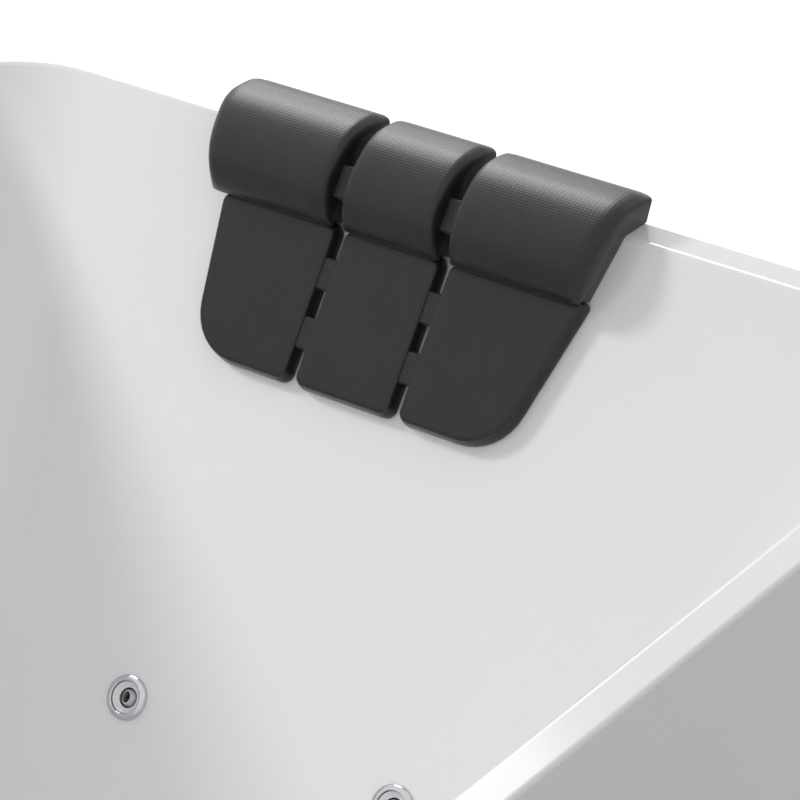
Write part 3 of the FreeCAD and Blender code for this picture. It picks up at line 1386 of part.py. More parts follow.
make_basin()
make_panels()
make_frame()
make_feet()
make_jets()
make_hoses()
make_suction()
make_pump()
make_controls()
make_waste()
make_headrest()
doc.recompute()
for thing in doc.Objects:
    if "Invalid" in thing.State or "Error" in thing.State:
        raise RuntimeError(f"{thing.Name} could not be made: {thing.State}")
os.makedirs("parts", exist_ok=True)
for name, part in PARTS.items():
    shape = part.Shape
    if shape.isNull() or not shape.isValid():
        raise RuntimeError(f"{name} has no valid shape")
    print(name, len(shape.Solids), round(shape.Volume), shape.BoundBox)
    shape.exportStep(f"parts/{name}.step")
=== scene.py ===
# %% [markdown]
# # A jetted bath, dressed in Blender
# The solids of the bath come in as a fixed frame: shell, panels, jets, pump and
# pipes. This lesson gives each of them a finish, and builds the soft headrest in
# mesh code, because its plump rolls are more than a plain solid can show.

# %% Load the frame
import math

import bmesh
import bpy
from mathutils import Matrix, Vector


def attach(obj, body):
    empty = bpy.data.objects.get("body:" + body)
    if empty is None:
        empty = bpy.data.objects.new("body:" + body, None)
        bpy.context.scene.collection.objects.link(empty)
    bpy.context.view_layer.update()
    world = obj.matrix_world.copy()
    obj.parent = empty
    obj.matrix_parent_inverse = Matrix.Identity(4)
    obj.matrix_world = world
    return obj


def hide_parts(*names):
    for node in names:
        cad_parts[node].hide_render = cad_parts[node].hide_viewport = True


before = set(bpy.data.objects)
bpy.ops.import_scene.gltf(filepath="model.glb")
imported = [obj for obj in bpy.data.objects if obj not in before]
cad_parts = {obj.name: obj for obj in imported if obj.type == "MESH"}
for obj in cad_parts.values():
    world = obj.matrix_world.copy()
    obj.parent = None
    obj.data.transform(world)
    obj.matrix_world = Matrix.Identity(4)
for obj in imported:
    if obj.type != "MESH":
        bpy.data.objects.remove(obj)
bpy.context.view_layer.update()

# %% [markdown]
# ## The camera
# A long lens far away keeps the rim's lines nearly parallel, as a catalogue picture
# does. The place and the two angles were worked out from the rim's straight edges
# and from the corner, so they are plain numbers here.

# %% Camera
CAMERA_PLACE = (-0.9832, -1.2714, 1.6397)
CAMERA_TURN, CAMERA_TILT = 36.072, 28.467     # degrees towards +Y, degrees down
LENS, SENSOR = 169.46, 36.0                   # millimetres
NEAREST, FURTHEST = 0.05, 60                  # metres


def make_camera():
    data = bpy.data.cameras.new("bath_camera")
    data.lens, data.sensor_width = LENS, SENSOR
    data.clip_start, data.clip_end = NEAREST, FURTHEST
    camera = bpy.data.objects.new("bath_camera", data)
    camera.location = CAMERA_PLACE
    camera.rotation_euler = (math.radians(90 - CAMERA_TILT), 0, math.radians(CAMERA_TURN - 90))
    bpy.context.scene.collection.objects.link(camera)
    bpy.context.scene.camera = camera
    return camera


print("camera at", tuple(make_camera().location))
bpy.context.scene.view_settings.view_transform = "Standard"

# %% [markdown]
# ## Wiring finishes
# Each finish is a small tree of nodes. This helper adds a node, sets it, and joins
# sockets, so that a finish below reads as a list of what the eye sees.


# %% Wiring helper
class Wiring:
    def __init__(self, tree):
        self.tree = tree

    def add(self, kind, inputs=(), **settings):
        node = self.tree.nodes.new("ShaderNode" + kind)
        for name, value in settings.items():
            setattr(node, name, value)
        for name, value in dict(inputs).items():
            self.put(value, node.inputs[name])
        return node

    def put(self, value, socket):
        if isinstance(value, bpy.types.NodeSocket):
            self.tree.links.new(value, socket)
        else:
            socket.default_value = value

    def math(self, operation, *values):
        node = self.add("Math", operation=operation)
        for value, socket in zip(values, node.inputs):
            self.put(value, socket)
        return node.outputs[0]

    def ramp(self, value, low, high, to_low=0.0, to_high=1.0):
        node = self.add("MapRange", {"Value": value, "From Min": low, "From Max": high,
                                     "To Min": to_low, "To Max": to_high})
        return node.outputs["Result"]

    def blend_colours(self, share, first, second):
        node = self.add("Mix", data_type="RGBA")
        for value, socket in zip((share, first, second),
                                 (node.inputs[0], node.inputs[6], node.inputs[7])):
            self.put(value, socket)
        return node.outputs[2]

    def bump(self, height, distance, strength=1.0, normal=None):
        node = self.add("Bump", {"Height": height, "Distance": distance, "Strength": strength})
        if normal is not None:
            self.put(normal, node.inputs["Normal"])
        return node.outputs["Normal"]

    def place(self):
        return self.add("TexCoord").outputs["Object"]

    def noise(self, scale, detail=3.0, roughness=0.5, place=None):
        node = self.add("TexNoise", {"Scale": scale, "Detail": detail, "Roughness": roughness,
                                     "Vector": place or self.place()})
        return node.outputs["Fac"]


def shared_effect(name, inputs, outputs, wire):
    """A node group with named sockets; wire(wiring, inputs) returns the outputs' sockets."""
    tree = bpy.data.node_groups.new(name, "ShaderNodeTree")
    for title, kind, value in inputs:
        socket = tree.interface.new_socket(title, in_out="INPUT", socket_type=kind)
        socket.default_value = value
    for title, kind in outputs:
        tree.interface.new_socket(title, in_out="OUTPUT", socket_type=kind)
    wiring = Wiring(tree)
    entry, leave = tree.nodes.new("NodeGroupInput"), tree.nodes.new("NodeGroupOutput")
    for made, socket in zip(wire(wiring, entry.outputs), leave.inputs):
        tree.links.new(made, socket)
    return tree


FLOAT, COLOUR = "NodeSocketFloat", "NodeSocketColor"
print("wiring ready")

# %% [markdown]
# ## Effects that several finishes share
# Handled parts are never even: wipe marks lie on polish, dust on what faces up,
# and a moulded skin has a slight swell. Each effect is built once as a group and
# placed with its own values, so that a change reaches every finish that uses it.


# %% Shared effects
def wire_wipe_marks(w, given):
    stretched = w.add("Mapping", {"Vector": w.place(), "Scale": (1.0, 0.25, 1.6)})
    sweep = w.noise(given["Scale"], 5.0, 0.6, stretched.outputs[0])
    cloud = w.noise(w.math("MULTIPLY", given["Scale"], 0.2), 2.0)
    return [w.math("MULTIPLY", w.ramp(sweep, 0.45, 0.75), w.ramp(cloud, 0.35, 0.65))]


def wire_dust(w, given):
    facing = w.add("SeparateXYZ", {"Vector": w.add("NewGeometry").outputs["Normal"]})
    upward = w.ramp(facing.outputs["Z"], 0.2, 0.95)
    fall = w.ramp(w.noise(given["Scale"], 6.0, 0.65), 0.35, 0.7)
    return [w.math("MULTIPLY", w.math("MULTIPLY", upward, fall), given["Amount"])]


def wire_swell(w, given):
    broad = w.noise(given["Broad Scale"], 2.0)
    fine = w.noise(given["Fine Scale"], 4.0, 0.6)
    return [w.math("ADD", broad, w.math("MULTIPLY", fine, given["Fine Share"]))]


def wire_speckle(w, given):
    cells = w.add("TexVoronoi", {"Scale": given["Scale"], "Vector": w.place()})
    tone = w.add("SeparateColor", {"Color": cells.outputs["Color"]}).outputs[0]
    colour = w.blend_colours(w.math("MULTIPLY", tone, given["Amount"]),
                             given["Colour"], given["Speckle Colour"])
    return [colour, cells.outputs["Distance"]]


WIPE_MARKS = shared_effect("Wipe marks", [("Scale", FLOAT, 30.0)], [("Mask", FLOAT)],
                           wire_wipe_marks)
DUST = shared_effect("Dust", [("Scale", FLOAT, 60.0), ("Amount", FLOAT, 0.3)],
                     [("Mask", FLOAT)], wire_dust)
SWELL = shared_effect("Moulded swell", [("Broad Scale", FLOAT, 4.0), ("Fine Scale", FLOAT, 90.0),
                                        ("Fine Share", FLOAT, 0.1)], [("Height", FLOAT)], wire_swell)
SPECKLE = shared_effect(
    "Speckle", [("Scale", FLOAT, 800.0), ("Amount", FLOAT, 0.3), ("Colour", COLOUR, (1, 1, 1, 1)),
                ("Speckle Colour", COLOUR, (0, 0, 0, 1))],
    [("Colour", COLOUR), ("Height", FLOAT)], wire_speckle)
print("shared effects:", [g.name for g in bpy.data.node_groups])


# %% Finish helper
def rgba(*tone):
    """A colour from 0 to 1 as it looks on screen, turned into the linear one that light uses."""
    level = tone * 3 if len(tone) == 1 else tone
    return tuple(c / 12.92 if c <= 0.04045 else ((c + 0.055) / 1.055) ** 2.4
                 for c in level) + (1.0,)


class Finish(Wiring):
    """A material with one Principled shader, opened for wiring."""

    def __init__(self, name, **constants):
        self.material = bpy.data.materials.new(name)
        self.material.use_nodes = True
        super().__init__(self.material.node_tree)
        self.shader = self.tree.nodes["Principled BSDF"]
        for socket, value in constants.items():
            self.shader.inputs[socket.replace("_", " ")].default_value = value

    def effect(self, group, **values):
        node = self.tree.nodes.new("ShaderNodeGroup")
        node.node_tree = group
        for socket, value in values.items():
            self.put(value, node.inputs[socket.replace("_", " ")])
        return node.outputs

    def feed(self, **sockets):
        for socket, value in sockets.items():
            self.put(value, self.shader.inputs[socket.replace("_", " ")])
        return self.material


print("finish helper ready")

# %% [markdown]
# ## White acrylic
# The shell is one vacuum-formed sheet of cast acrylic: a deep gloss with a very
# slight long ripple. Its back is sprayed with chopped glass in resin, dull and
# amber. One material tells the two apart by which way the surface faces.


# %% Acrylic finish
BACK_FROM, BACK_WHOLE = -0.03, -0.09          # how far a surface faces down to be the back
RIPPLE_DEPTH, GLASS_DEPTH, RESIN_ROUGH = 0.0012, 0.0012, 0.6


def make_acrylic():
    f = Finish("acrylic_gloss", IOR=1.49)
    facing = f.add("SeparateXYZ", {"Vector": f.add("NewGeometry").outputs["True Normal"]})
    back = f.ramp(facing.outputs["Z"], BACK_FROM, BACK_WHOLE)
    cloud = f.ramp(f.noise(3.0, 3.0), 0.3, 0.7)
    sheet = f.blend_colours(cloud, rgba(0.946, 0.947, 0.95), rgba(0.954, 0.955, 0.957))
    strands = f.add("TexNoise", {"Scale": 120.0, "Detail": 6.0, "Distortion": 2.5,
                                 "Vector": f.place()}).outputs["Fac"]
    resin = f.blend_colours(f.ramp(strands, 0.35, 0.65), rgba(0.66, 0.62, 0.5),
                            rgba(0.85, 0.83, 0.74))
    marks = f.effect(WIPE_MARKS, Scale=14.0)["Mask"]
    gloss = f.ramp(marks, 0.0, 1.0, 0.09, 0.15)
    rough = f.add("Mix", {"Factor": back, "A": gloss, "B": RESIN_ROUGH}).outputs[0]
    ripple = f.bump(f.effect(SWELL, Broad_Scale=5.0, Fine_Scale=160.0, Fine_Share=0.004)["Height"],
                    RIPPLE_DEPTH, 0.5)
    glass = f.bump(f.math("MULTIPLY", strands, back), GLASS_DEPTH, 1.0, ripple)
    return f.feed(Base_Color=f.blend_colours(back, sheet, resin), Roughness=rough, Normal=glass)


print("made", make_acrylic().name)

# %% [markdown]
# ## Chrome
# Plated brass or plastic: a hard mirror whose only flaws are wiped-on water marks
# and hairline rub marks. The marks only change the roughness, so they show where
# light strikes and vanish elsewhere, as on a real tap.


# %% Chrome finish
def make_chrome():
    f = Finish("chrome_plate", Metallic=1.0)
    marks = f.effect(WIPE_MARKS, Scale=220.0)["Mask"]
    tint = f.blend_colours(marks, rgba(0.79, 0.795, 0.81), rgba(0.75, 0.76, 0.77))
    hairlines = f.noise(2600.0, 2.0)
    return f.feed(Base_Color=tint, Roughness=f.ramp(marks, 0.0, 1.0, 0.045, 0.13),
                  Normal=f.bump(hairlines, 0.000004, 0.6))


print("made", make_chrome().name)

# %% [markdown]
# ## Plastics
# Jet inserts and nozzles are satin moulded plastic, pipes are plain white, hoses
# are soft and pale, pump and feet are black with a fine spark texture. They share
# one recipe and differ in tone, gloss and grain. Little sky reaches the bottom of a
# nozzle's bore, so every plastic's colour is painted near black where the sky hardly reaches: a
# painted shade in bores and hollows.


# %% Plastic finishes
DUST_TONE, MATT_FROM = (0.72, 0.7, 0.67), 0.35   # only a matt plastic shows its dust
MARK_SCALE, DUST_SCALE, DUST_AMOUNT = 0.08, 0.3, 0.35   # the scales are shares of the grain's
MARK_ROUGHER = 0.1
# how far the sky is sought, and the shares of open sky between which the painted bore shade fades out
BORE_REACH, BORE_DARK, BORE_OPEN = 0.02, 0.22, 0.5


def make_plastic(name, tone, worn_tone, gloss, grain_scale, grain_depth, **constants):
    f = Finish(name, **constants)
    marks = f.effect(WIPE_MARKS, Scale=grain_scale * MARK_SCALE)["Mask"]
    dust = f.effect(DUST, Scale=grain_scale * DUST_SCALE, Amount=DUST_AMOUNT)["Mask"]
    tint = f.blend_colours(marks, rgba(*tone), rgba(*worn_tone))
    dust_and_painted_shade = f.blend_colours(dust, tint, rgba(*DUST_TONE)) if gloss > MATT_FROM else tint
    grain = f.effect(SWELL, Broad_Scale=40.0, Fine_Scale=grain_scale, Fine_Share=0.5)["Height"]
    # painted shade: where little sky reaches, in bores and hollows, the colour goes near black
    open_sky = f.add("AmbientOcclusion", {"Distance": BORE_REACH}, samples=4).outputs["AO"]
    dust_and_painted_shade = f.blend_colours(f.ramp(open_sky, BORE_DARK, BORE_OPEN), rgba(0.02), dust_and_painted_shade)
    return f.feed(Base_Color=dust_and_painted_shade, Roughness=f.ramp(marks, 0.0, 1.0, gloss, gloss + MARK_ROUGHER),
                  Normal=f.bump(grain, grain_depth, 0.7))


PLASTICS = [
    make_plastic("insert_satin", (0.955, 0.957, 0.96), (0.93, 0.932, 0.935), 0.3, 900, 0.00002),
    make_plastic("nozzle_satin", (0.8, 0.81, 0.82), (0.74, 0.75, 0.76), 0.28, 900, 0.00002),
    make_plastic("pipe_white", (0.86, 0.86, 0.85), (0.8, 0.8, 0.79), 0.38, 500, 0.00006),
    make_plastic("hose_pale", (0.78, 0.8, 0.8), (0.7, 0.73, 0.74), 0.36, 300, 0.0001),
    make_plastic("black_spark", (0.16, 0.16, 0.165), (0.22, 0.22, 0.22), 0.5, 1500, 0.00008),
]
print("made", [m.name for m in PLASTICS])

# %% [markdown]
# ## Metals under the shell
# The frame is zinc-coated tube, whose coat freezes in flat crystals of slightly
# different greys. The shaft is turned steel, the windings lacquered copper, and
# the motor's casting is painted dark.


# %% Metal finishes
DULL_DUST = (0.6, 0.58, 0.55)


def make_zinc():
    f = Finish("zinc_coat", Metallic=0.85)
    flakes = f.effect(SPECKLE, Scale=90.0, Amount=0.55, Colour=rgba(0.66, 0.67, 0.68),
                      Speckle_Colour=rgba(0.5, 0.52, 0.54))
    dust = f.effect(DUST, Scale=35.0, Amount=0.5)["Mask"]
    rough = f.math("ADD", f.ramp(flakes["Height"], 0.0, 1.0, 0.32, 0.45),
                   f.math("MULTIPLY", dust, 0.3))
    return f.feed(Base_Color=f.blend_colours(dust, flakes["Colour"], rgba(*DULL_DUST)),
                  Roughness=rough, Normal=f.bump(flakes["Height"], 0.00005, 0.6))


def make_turned_steel():
    f = Finish("turned_shaft", Metallic=1.0)
    rings = f.add("TexWave", {"Scale": 900.0, "Distortion": 1.0, "Vector": f.place()},
                  bands_direction="Y").outputs["Fac"]
    tint = f.blend_colours(rings, rgba(0.72, 0.72, 0.73), rgba(0.62, 0.62, 0.64))
    return f.feed(Base_Color=tint, Roughness=f.ramp(rings, 0.0, 1.0, 0.2, 0.34),
                  Normal=f.bump(rings, 0.00001))


def make_copper_windings():
    f = Finish("copper_windings", Metallic=0.9, Coat_Weight=0.4)
    turns = f.add("TexWave", {"Scale": 420.0, "Distortion": 0.6, "Vector": f.place()},
                  bands_direction="Y").outputs["Fac"]
    tint = f.blend_colours(turns, rgba(0.5, 0.27, 0.14), rgba(0.78, 0.46, 0.27))
    return f.feed(Base_Color=tint, Roughness=f.ramp(turns, 0.0, 1.0, 0.4, 0.25),
                  Normal=f.bump(turns, 0.0004))


def make_motor_paint():
    f = Finish("motor_paint")
    dust = f.effect(DUST, Scale=40.0, Amount=0.45)["Mask"]
    speckle = f.effect(SPECKLE, Scale=1400.0, Amount=0.35, Colour=rgba(0.3, 0.32, 0.35),
                       Speckle_Colour=rgba(0.22, 0.24, 0.27))
    cast = f.effect(SWELL, Broad_Scale=60.0, Fine_Scale=700.0, Fine_Share=0.6)["Height"]
    return f.feed(Base_Color=f.blend_colours(dust, speckle["Colour"], rgba(*DULL_DUST)),
                  Roughness=f.ramp(dust, 0.0, 0.5, 0.42, 0.8), Normal=f.bump(cast, 0.0002, 0.8))


METALS = [make_zinc(), make_turned_steel(), make_copper_windings(), make_motor_paint()]
print("made", [m.name for m in METALS])

# %% [markdown]
# ## Timber and board
# The battens are sawn softwood: long early and late growth bands with a fuzzy saw
# cut. The board that stiffens the floor of the shell is pressed from chips and
# soaked with resin.


# %% Wood finishes
def make_softwood():
    f = Finish("sawn_softwood")
    along = f.add("Mapping", {"Vector": f.place(), "Scale": (60.0, 60.0, 3.0)}).outputs[0]
    bands = f.add("TexWave", {"Scale": 1.2, "Distortion": 6.0, "Detail": 3.0, "Vector": along},
                  bands_direction="DIAGONAL").outputs["Fac"]
    fibres = f.noise(9.0, 6.0, 0.7, along)
    tint = f.blend_colours(f.ramp(bands, 0.2, 0.9), rgba(0.86, 0.72, 0.5), rgba(0.72, 0.53, 0.31))
    tint = f.blend_colours(f.ramp(fibres, 0.3, 0.8, 0.0, 0.5), tint, rgba(0.6, 0.45, 0.28))
    return f.feed(Base_Color=tint, Roughness=f.ramp(fibres, 0.2, 0.8, 0.62, 0.8),
                  Normal=f.bump(fibres, 0.0006))


def make_chip_board():
    f = Finish("chip_board")
    chips = f.effect(SPECKLE, Scale=130.0, Amount=0.8, Colour=rgba(0.8, 0.68, 0.48),
                     Speckle_Colour=rgba(0.5, 0.37, 0.22))
    soaked = f.ramp(f.noise(7.0, 3.0), 0.4, 0.65)
    tint = f.blend_colours(f.math("MULTIPLY", soaked, 0.4), chips["Colour"], rgba(0.55, 0.4, 0.22))
    return f.feed(Base_Color=tint, Roughness=f.ramp(soaked, 0.0, 1.0, 0.75, 0.35),
                  Normal=f.bump(chips["Height"], 0.0006))


WOODS = [make_softwood(), make_chip_board()]
print("made", [m.name for m in WOODS])

# %% [markdown]
# ## Clear vinyl cups
# The headrest holds on with soft clear suction cups. They hide behind the foam,
# so a milky, slightly rough transmission is enough.


# %% Cup finish
def make_vinyl():
    f = Finish("clear_vinyl", IOR=1.45, Transmission_Weight=0.6)
    cloud = f.noise(300.0, 3.0)
    tint = f.blend_colours(cloud, rgba(0.86, 0.89, 0.9), rgba(0.78, 0.82, 0.84))
    return f.feed(Base_Color=tint, Roughness=f.ramp(cloud, 0.2, 0.8, 0.12, 0.3))


print("made", make_vinyl().name)

# %% [markdown]
# ## Put the finishes on the frame
# Every solid arrives with the name of its slot as its material. The table says
# which finish each slot gets; the meshes themselves are never touched.

# %% Dress the solids
FINISH_OF_SLOT = {
    "acrylic": "acrylic_gloss", "chrome": "chrome_plate", "insert": "insert_satin",
    "nozzle": "nozzle_satin", "pipe": "pipe_white", "hose": "hose_pale",
    "black": "black_spark", "steel": "zinc_coat", "shaft": "turned_shaft",
    "copper": "copper_windings", "motor": "motor_paint", "timber": "sawn_softwood",
    "board": "chip_board", "cup": "clear_vinyl",
}
dressed = 0
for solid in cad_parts.values():
    for slot in solid.material_slots:
        finish = FINISH_OF_SLOT.get(slot.material.name.split(".")[0])
        if finish:
            slot.material = bpy.data.materials[finish]
            dressed += 1
print("dressed", dressed, "slots")

# %% [markdown]
# ## Foam with an embossed skin
# The headrest is moulded foam with a tough charcoal skin. The mould's pattern is
# rows of small oval bumps, each set half a bump over in every other row. Two sets
# of slanting waves, multiplied, give just that. They follow a place that is kept on
# the mesh, in millimetres round the form and along it, so that the bumps bend over
# the rolls without stretching. A sheen and a thin satin coat give the bright bloom of
# such a skin where it is seen from a low angle.

# %% Foam finish
BUMP_LENGTH, BUMP_HEIGHT = 2.9, 2.0           # millimetres on the real skin
BUMP_SWAY = (0.9, 0.7, 0.0)                   # millimetres that the rows wander
BUMP_RISE, PORE_RISE = 0.00012, 0.00003       # metres, in the shading only
WAVE_CLIP = 0.7                               # cuts the waves' tops, so that bumps are flat


def make_foam():
    f = Finish("foam_skin", Specular_IOR_Level=0.3, Sheen_Weight=0.55, Sheen_Roughness=0.2,
               Coat_Weight=0.8, Coat_IOR=1.3, Coat_Roughness=0.34)
    laid = f.add("Attribute", attribute_name="skin_place").outputs["Vector"]
    sway = f.add("VectorMath", operation="MULTIPLY_ADD")
    swirl = f.add("TexNoise", {"Scale": 0.2, "Vector": laid}).outputs["Color"]
    for value, socket in zip((swirl, BUMP_SWAY, laid), sway.inputs):
        f.put(value, socket)
    place = f.add("SeparateXYZ", {"Vector": sway.outputs[0]}).outputs
    along = f.math("MULTIPLY", place["X"], math.pi / BUMP_LENGTH)
    around = f.math("MULTIPLY", place["Y"], math.pi / BUMP_HEIGHT)
    waves = [f.math("SINE", f.math(slant, along, around)) for slant in ("ADD", "SUBTRACT")]
    bumps = f.ramp(f.math("MULTIPLY", *waves), -WAVE_CLIP, WAVE_CLIP)
    cloud = f.ramp(f.noise(30.0, 3.0), 0.3, 0.7)
    tint = f.blend_colours(cloud, rgba(0.095, 0.095, 0.1), rgba(0.115, 0.115, 0.12))
    # painted shade: the hollows between the bumps are painted a little darker than their tops
    tint = f.blend_colours(bumps, rgba(0.085, 0.085, 0.09), tint)
    pores = f.noise(1800.0, 3.0, 0.6)
    return f.feed(Base_Color=tint, Roughness=f.ramp(bumps, 0.0, 1.0, 0.5, 0.44),
                  Normal=f.bump(pores, PORE_RISE, 0.5, f.bump(bumps, BUMP_RISE)))


print("made", make_foam().name)

# %% [markdown]
# ## Where the headrest lies
# It hangs over the rim at the head end. Places on it are easiest to say as a
# distance down the sloping wall from the rim's inner edge and a height off the
# wall, and one function turns these into the frame's x and z.

# %% The head wall
RIM_EDGE_X, RIM_LEVEL = 0.825, 0.6
HEAD_SLOPE = math.radians(34.4)
GAP, TO_MM = 0.0004, 1000


def on_slope(down, off):
    return (-down * math.sin(HEAD_SLOPE) - off * math.cos(HEAD_SLOPE),
            -down * math.cos(HEAD_SLOPE) + off * math.sin(HEAD_SLOPE))


def in_frame(pair, y):
    return Vector((RIM_EDGE_X + pair[0], y, RIM_LEVEL + pair[1]))


print("head wall falls", round(on_slope(1, 0)[1], 3), "for each metre down it")

# %% [markdown]
# ## The rolls
# Each roll is a bolster bent over the rim. It could be modelled by inflating a
# cushion, but this foam comes from a hard mould, so its form is exact: a slab with
# upright ends, and a full crown that swells out of it and falls away in the last
# few millimetres before each end. Three lines describe it: where it rests, the top
# of the slab, and the crown. Sections between the last two make the skin. The resting
# line ends in a step up, so that a roll's lip hangs over the pad below it.


# %% Lines of a roll
def smooth_line(points, count):
    """Evenly counted places on a soft curve that passes through the points."""
    ends = [2 * Vector(points[0]) - Vector(points[1]), *map(Vector, points),
            2 * Vector(points[-1]) - Vector(points[-2])]
    spans = len(points) - 1
    made = []
    for step in range(count):
        t = step / (count - 1) * spans
        index = min(int(t), spans - 1)
        t -= index
        a, b, c, d = ends[index:index + 4]
        made.append(0.5 * ((2 * b) + (c - a) * t + (2 * a - 5 * b + 4 * c - d) * t * t
                           + (3 * b - a - 3 * c + d) * t ** 3))
    return made


ROUND_COUNT = 56
BACK, SLAB, CROWN, BACK_CROWN = 0.024, 0.0165, 0.026, 0.0205
FRONT, DROP, LIP = 0.0475, 0.046, 0.0132
STEP_COUNT, STEP_FOOT, STEP_LEAN = 12, 1.01, 0.02   # the step's places, and shares of DROP
REST_LINE = smooth_line([(BACK, GAP), (0.014, GAP), (0.003, GAP), (-0.0005, 0.0001),
                         *(on_slope(DROP * share, GAP) for share in
                           (0.08, 0.16, 0.37, 0.6, 0.8, 0.93, 1.0))], ROUND_COUNT - STEP_COUNT)
for step in range(STEP_COUNT):
    rise = step / (STEP_COUNT - 1)
    REST_LINE.append(Vector(on_slope(DROP * (STEP_FOOT + STEP_LEAN * rise), GAP + (LIP - GAP) * rise)))
SLAB_LINE = smooth_line([(BACK, SLAB), (0.014, SLAB), (0.003, SLAB), (-SLAB * 0.26, SLAB * 0.97),
                         (-SLAB * 0.62, SLAB * 0.79), *(on_slope(DROP * share, SLAB * height)
                                                        for share, height in
                         ((0.11, 1), (0.37, 1), (0.65, 1), (0.91, 0.97), (1.08, 0.92))),
                         on_slope(DROP * 1.115, LIP)], ROUND_COUNT)
CROWN_LINE = smooth_line([(BACK, BACK_CROWN), (0.014, CROWN * 0.965), (0.003, CROWN),
                          *((-FRONT * share, CROWN * height) for share, height in
                            ((0.19, 0.965), (0.44, 0.785), (0.69, 0.44), (0.885, 0.04))),
                          *((-FRONT * share, -DROP * height) for share, height in
                            ((0.99, 0.26), (0.985, 0.56), (0.905, 0.73))),
                          on_slope(DROP * 1.11, LIP)], ROUND_COUNT)
print("roll lines of", ROUND_COUNT, "places")

# %% Skin of a roll
OUTER_FALL, INNER_FALL = 0.012, 0.007         # how far from its end a roll starts to drop
END_STEPS = (0, 0.025, 0.075, 0.15, 0.25, 0.38, 0.55, 0.75, 1)
END_POWER = 2.3                               # 2 would be a plain quarter of an ellipse
MIDDLE_STATIONS, SIDE_ROWS = 8, 4
ROLL_EDGE, ROLL_EDGE_STEPS, ROLL_EDGE_FROM = 0.0009, 3, 38


def skin_place_layer(mesh, places):
    layer = mesh.attributes.new("skin_place", "FLOAT_VECTOR", "POINT")
    for item, place in zip(layer.data, places):
        item.vector = place


def mesh_object(name, rows, faces, places):
    mesh = bpy.data.meshes.new(name)
    mesh.from_pydata(rows, [], faces)
    mesh.update()
    skin_place_layer(mesh, places)
    made = bpy.data.objects.new(name, mesh)
    bpy.context.scene.collection.objects.link(made)
    bm = bmesh.new()
    bm.from_mesh(mesh)
    bmesh.ops.recalc_face_normals(bm, faces=bm.faces)
    bm.to_mesh(mesh)
    bm.free()
    for face in mesh.polygons:
        face.use_smooth = True
    return made


def roll_stations(length, low_fall, high_fall):
    """How far along the roll each section is, from 0 to 1, and how full it is."""
    even = length - low_fall - high_fall
    middle = [low_fall + even * k / (MIDDLE_STATIONS + 1) for k in range(1, MIDDLE_STATIONS + 1)]
    reaches = [*(step * low_fall for step in END_STEPS), *middle,
               *(length - step * high_fall for step in reversed(END_STEPS))]
    stations = []
    for reach in reaches:
        flat = max(1 - reach / low_fall, 1 - (length - reach) / high_fall, 0)
        stations.append((reach / length, (1 - flat ** END_POWER) ** (1 / END_POWER)))
    return stations


def make_roll(name, low_end, high_end):
    """A roll between two end planes, each given by its place, lean with the height, and fall."""
    points, places, faces = [], [], []
    (low, low_lean, low_fall), (high, high_lean, high_fall) = low_end, high_end
    stations = roll_stations(high - low, low_fall, high_fall)
    round_way = [0.0]
    for one, two in zip(CROWN_LINE, CROWN_LINE[1:]):
        round_way.append(round_way[-1] + (two - one).length * TO_MM)
    for share, fullness in stations:
        outside = [thin.lerp(full, fullness) for thin, full in zip(SLAB_LINE, CROWN_LINE)]
        ways = list(range(ROUND_COUNT))
        for pair, index in zip(outside + REST_LINE[::-1], ways + ways[::-1]):
            start, end = low + low_lean * pair[1], high + high_lean * pair[1]
            points.append(in_frame(pair, start + (end - start) * share))
            places.append((points[-1].y * TO_MM, round_way[index], 0))
    ring = 2 * ROUND_COUNT
    for row in range(len(stations) - 1):
        for index in range(ring):
            a, b = row * ring + index, row * ring + (index + 1) % ring
            faces.append((a, b, b + ring, a + ring))
    for first in (0, (len(stations) - 1) * ring):
        net = [[first + index for index in range(ROUND_COUNT)]]
        for k in range(1, SIDE_ROWS):
            net.append([])
            for index in range(ROUND_COUNT):
                top, foot = points[first + index], points[first + ring - 1 - index]
                points.append(top.lerp(foot, k / SIDE_ROWS))
                places.append((round_way[index], (top - foot).length * TO_MM * k / SIDE_ROWS, 0))
                net[-1].append(len(points) - 1)
        net.append([first + ring - 1 - index for index in range(ROUND_COUNT)])
        for upper, lower in zip(net, net[1:]):
            for index in range(ROUND_COUNT - 1):
                faces.append((upper[index], upper[index + 1], lower[index + 1], lower[index]))
    made = mesh_object(name, points, faces, places)
    edge = made.modifiers.new("soft_edges", "BEVEL")
    edge.width, edge.segments, edge.limit_method = ROLL_EDGE, ROLL_EDGE_STEPS, "ANGLE"
    edge.angle_limit = math.radians(ROLL_EDGE_FROM)
    return made


print("roll skin ready")


def fit_foam(piece, *nodes):
    piece.data.materials.append(bpy.data.materials["foam_skin"])
    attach(piece, "headrest")
    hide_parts(*nodes)
    return piece


CENTRE_Y = 0.024
HALF_ROLL, INNER_ROLL, ROLL_REACH, END_LEAN = 0.038, 0.0475, 0.154, 0.22
ROLLS = {
    "left": ((CENTRE_Y + INNER_ROLL, 0, INNER_FALL), (CENTRE_Y + ROLL_REACH, END_LEAN, OUTER_FALL)),
    "centre": ((CENTRE_Y - HALF_ROLL, 0, INNER_FALL), (CENTRE_Y + HALF_ROLL, 0, INNER_FALL)),
    "right": ((CENTRE_Y - ROLL_REACH, -END_LEAN, OUTER_FALL), (CENTRE_Y - INNER_ROLL, 0, INNER_FALL)),
}
for side, ends in ROLLS.items():
    roll = make_roll(f"roll_{side}", *ends)
    fit_foam(roll, f"headrest_roll_{side}")
    print(roll.name, "has", len(roll.data.polygons), "faces")

# %% [markdown]
# ## The back pads
# Below the rolls, three flatter pads lie on the wall. Each is drawn as a rounded
# outline, then raised in rings: up a side that spreads a little at its foot, over a
# soft edge, and across a face that is slightly proud in its middle.

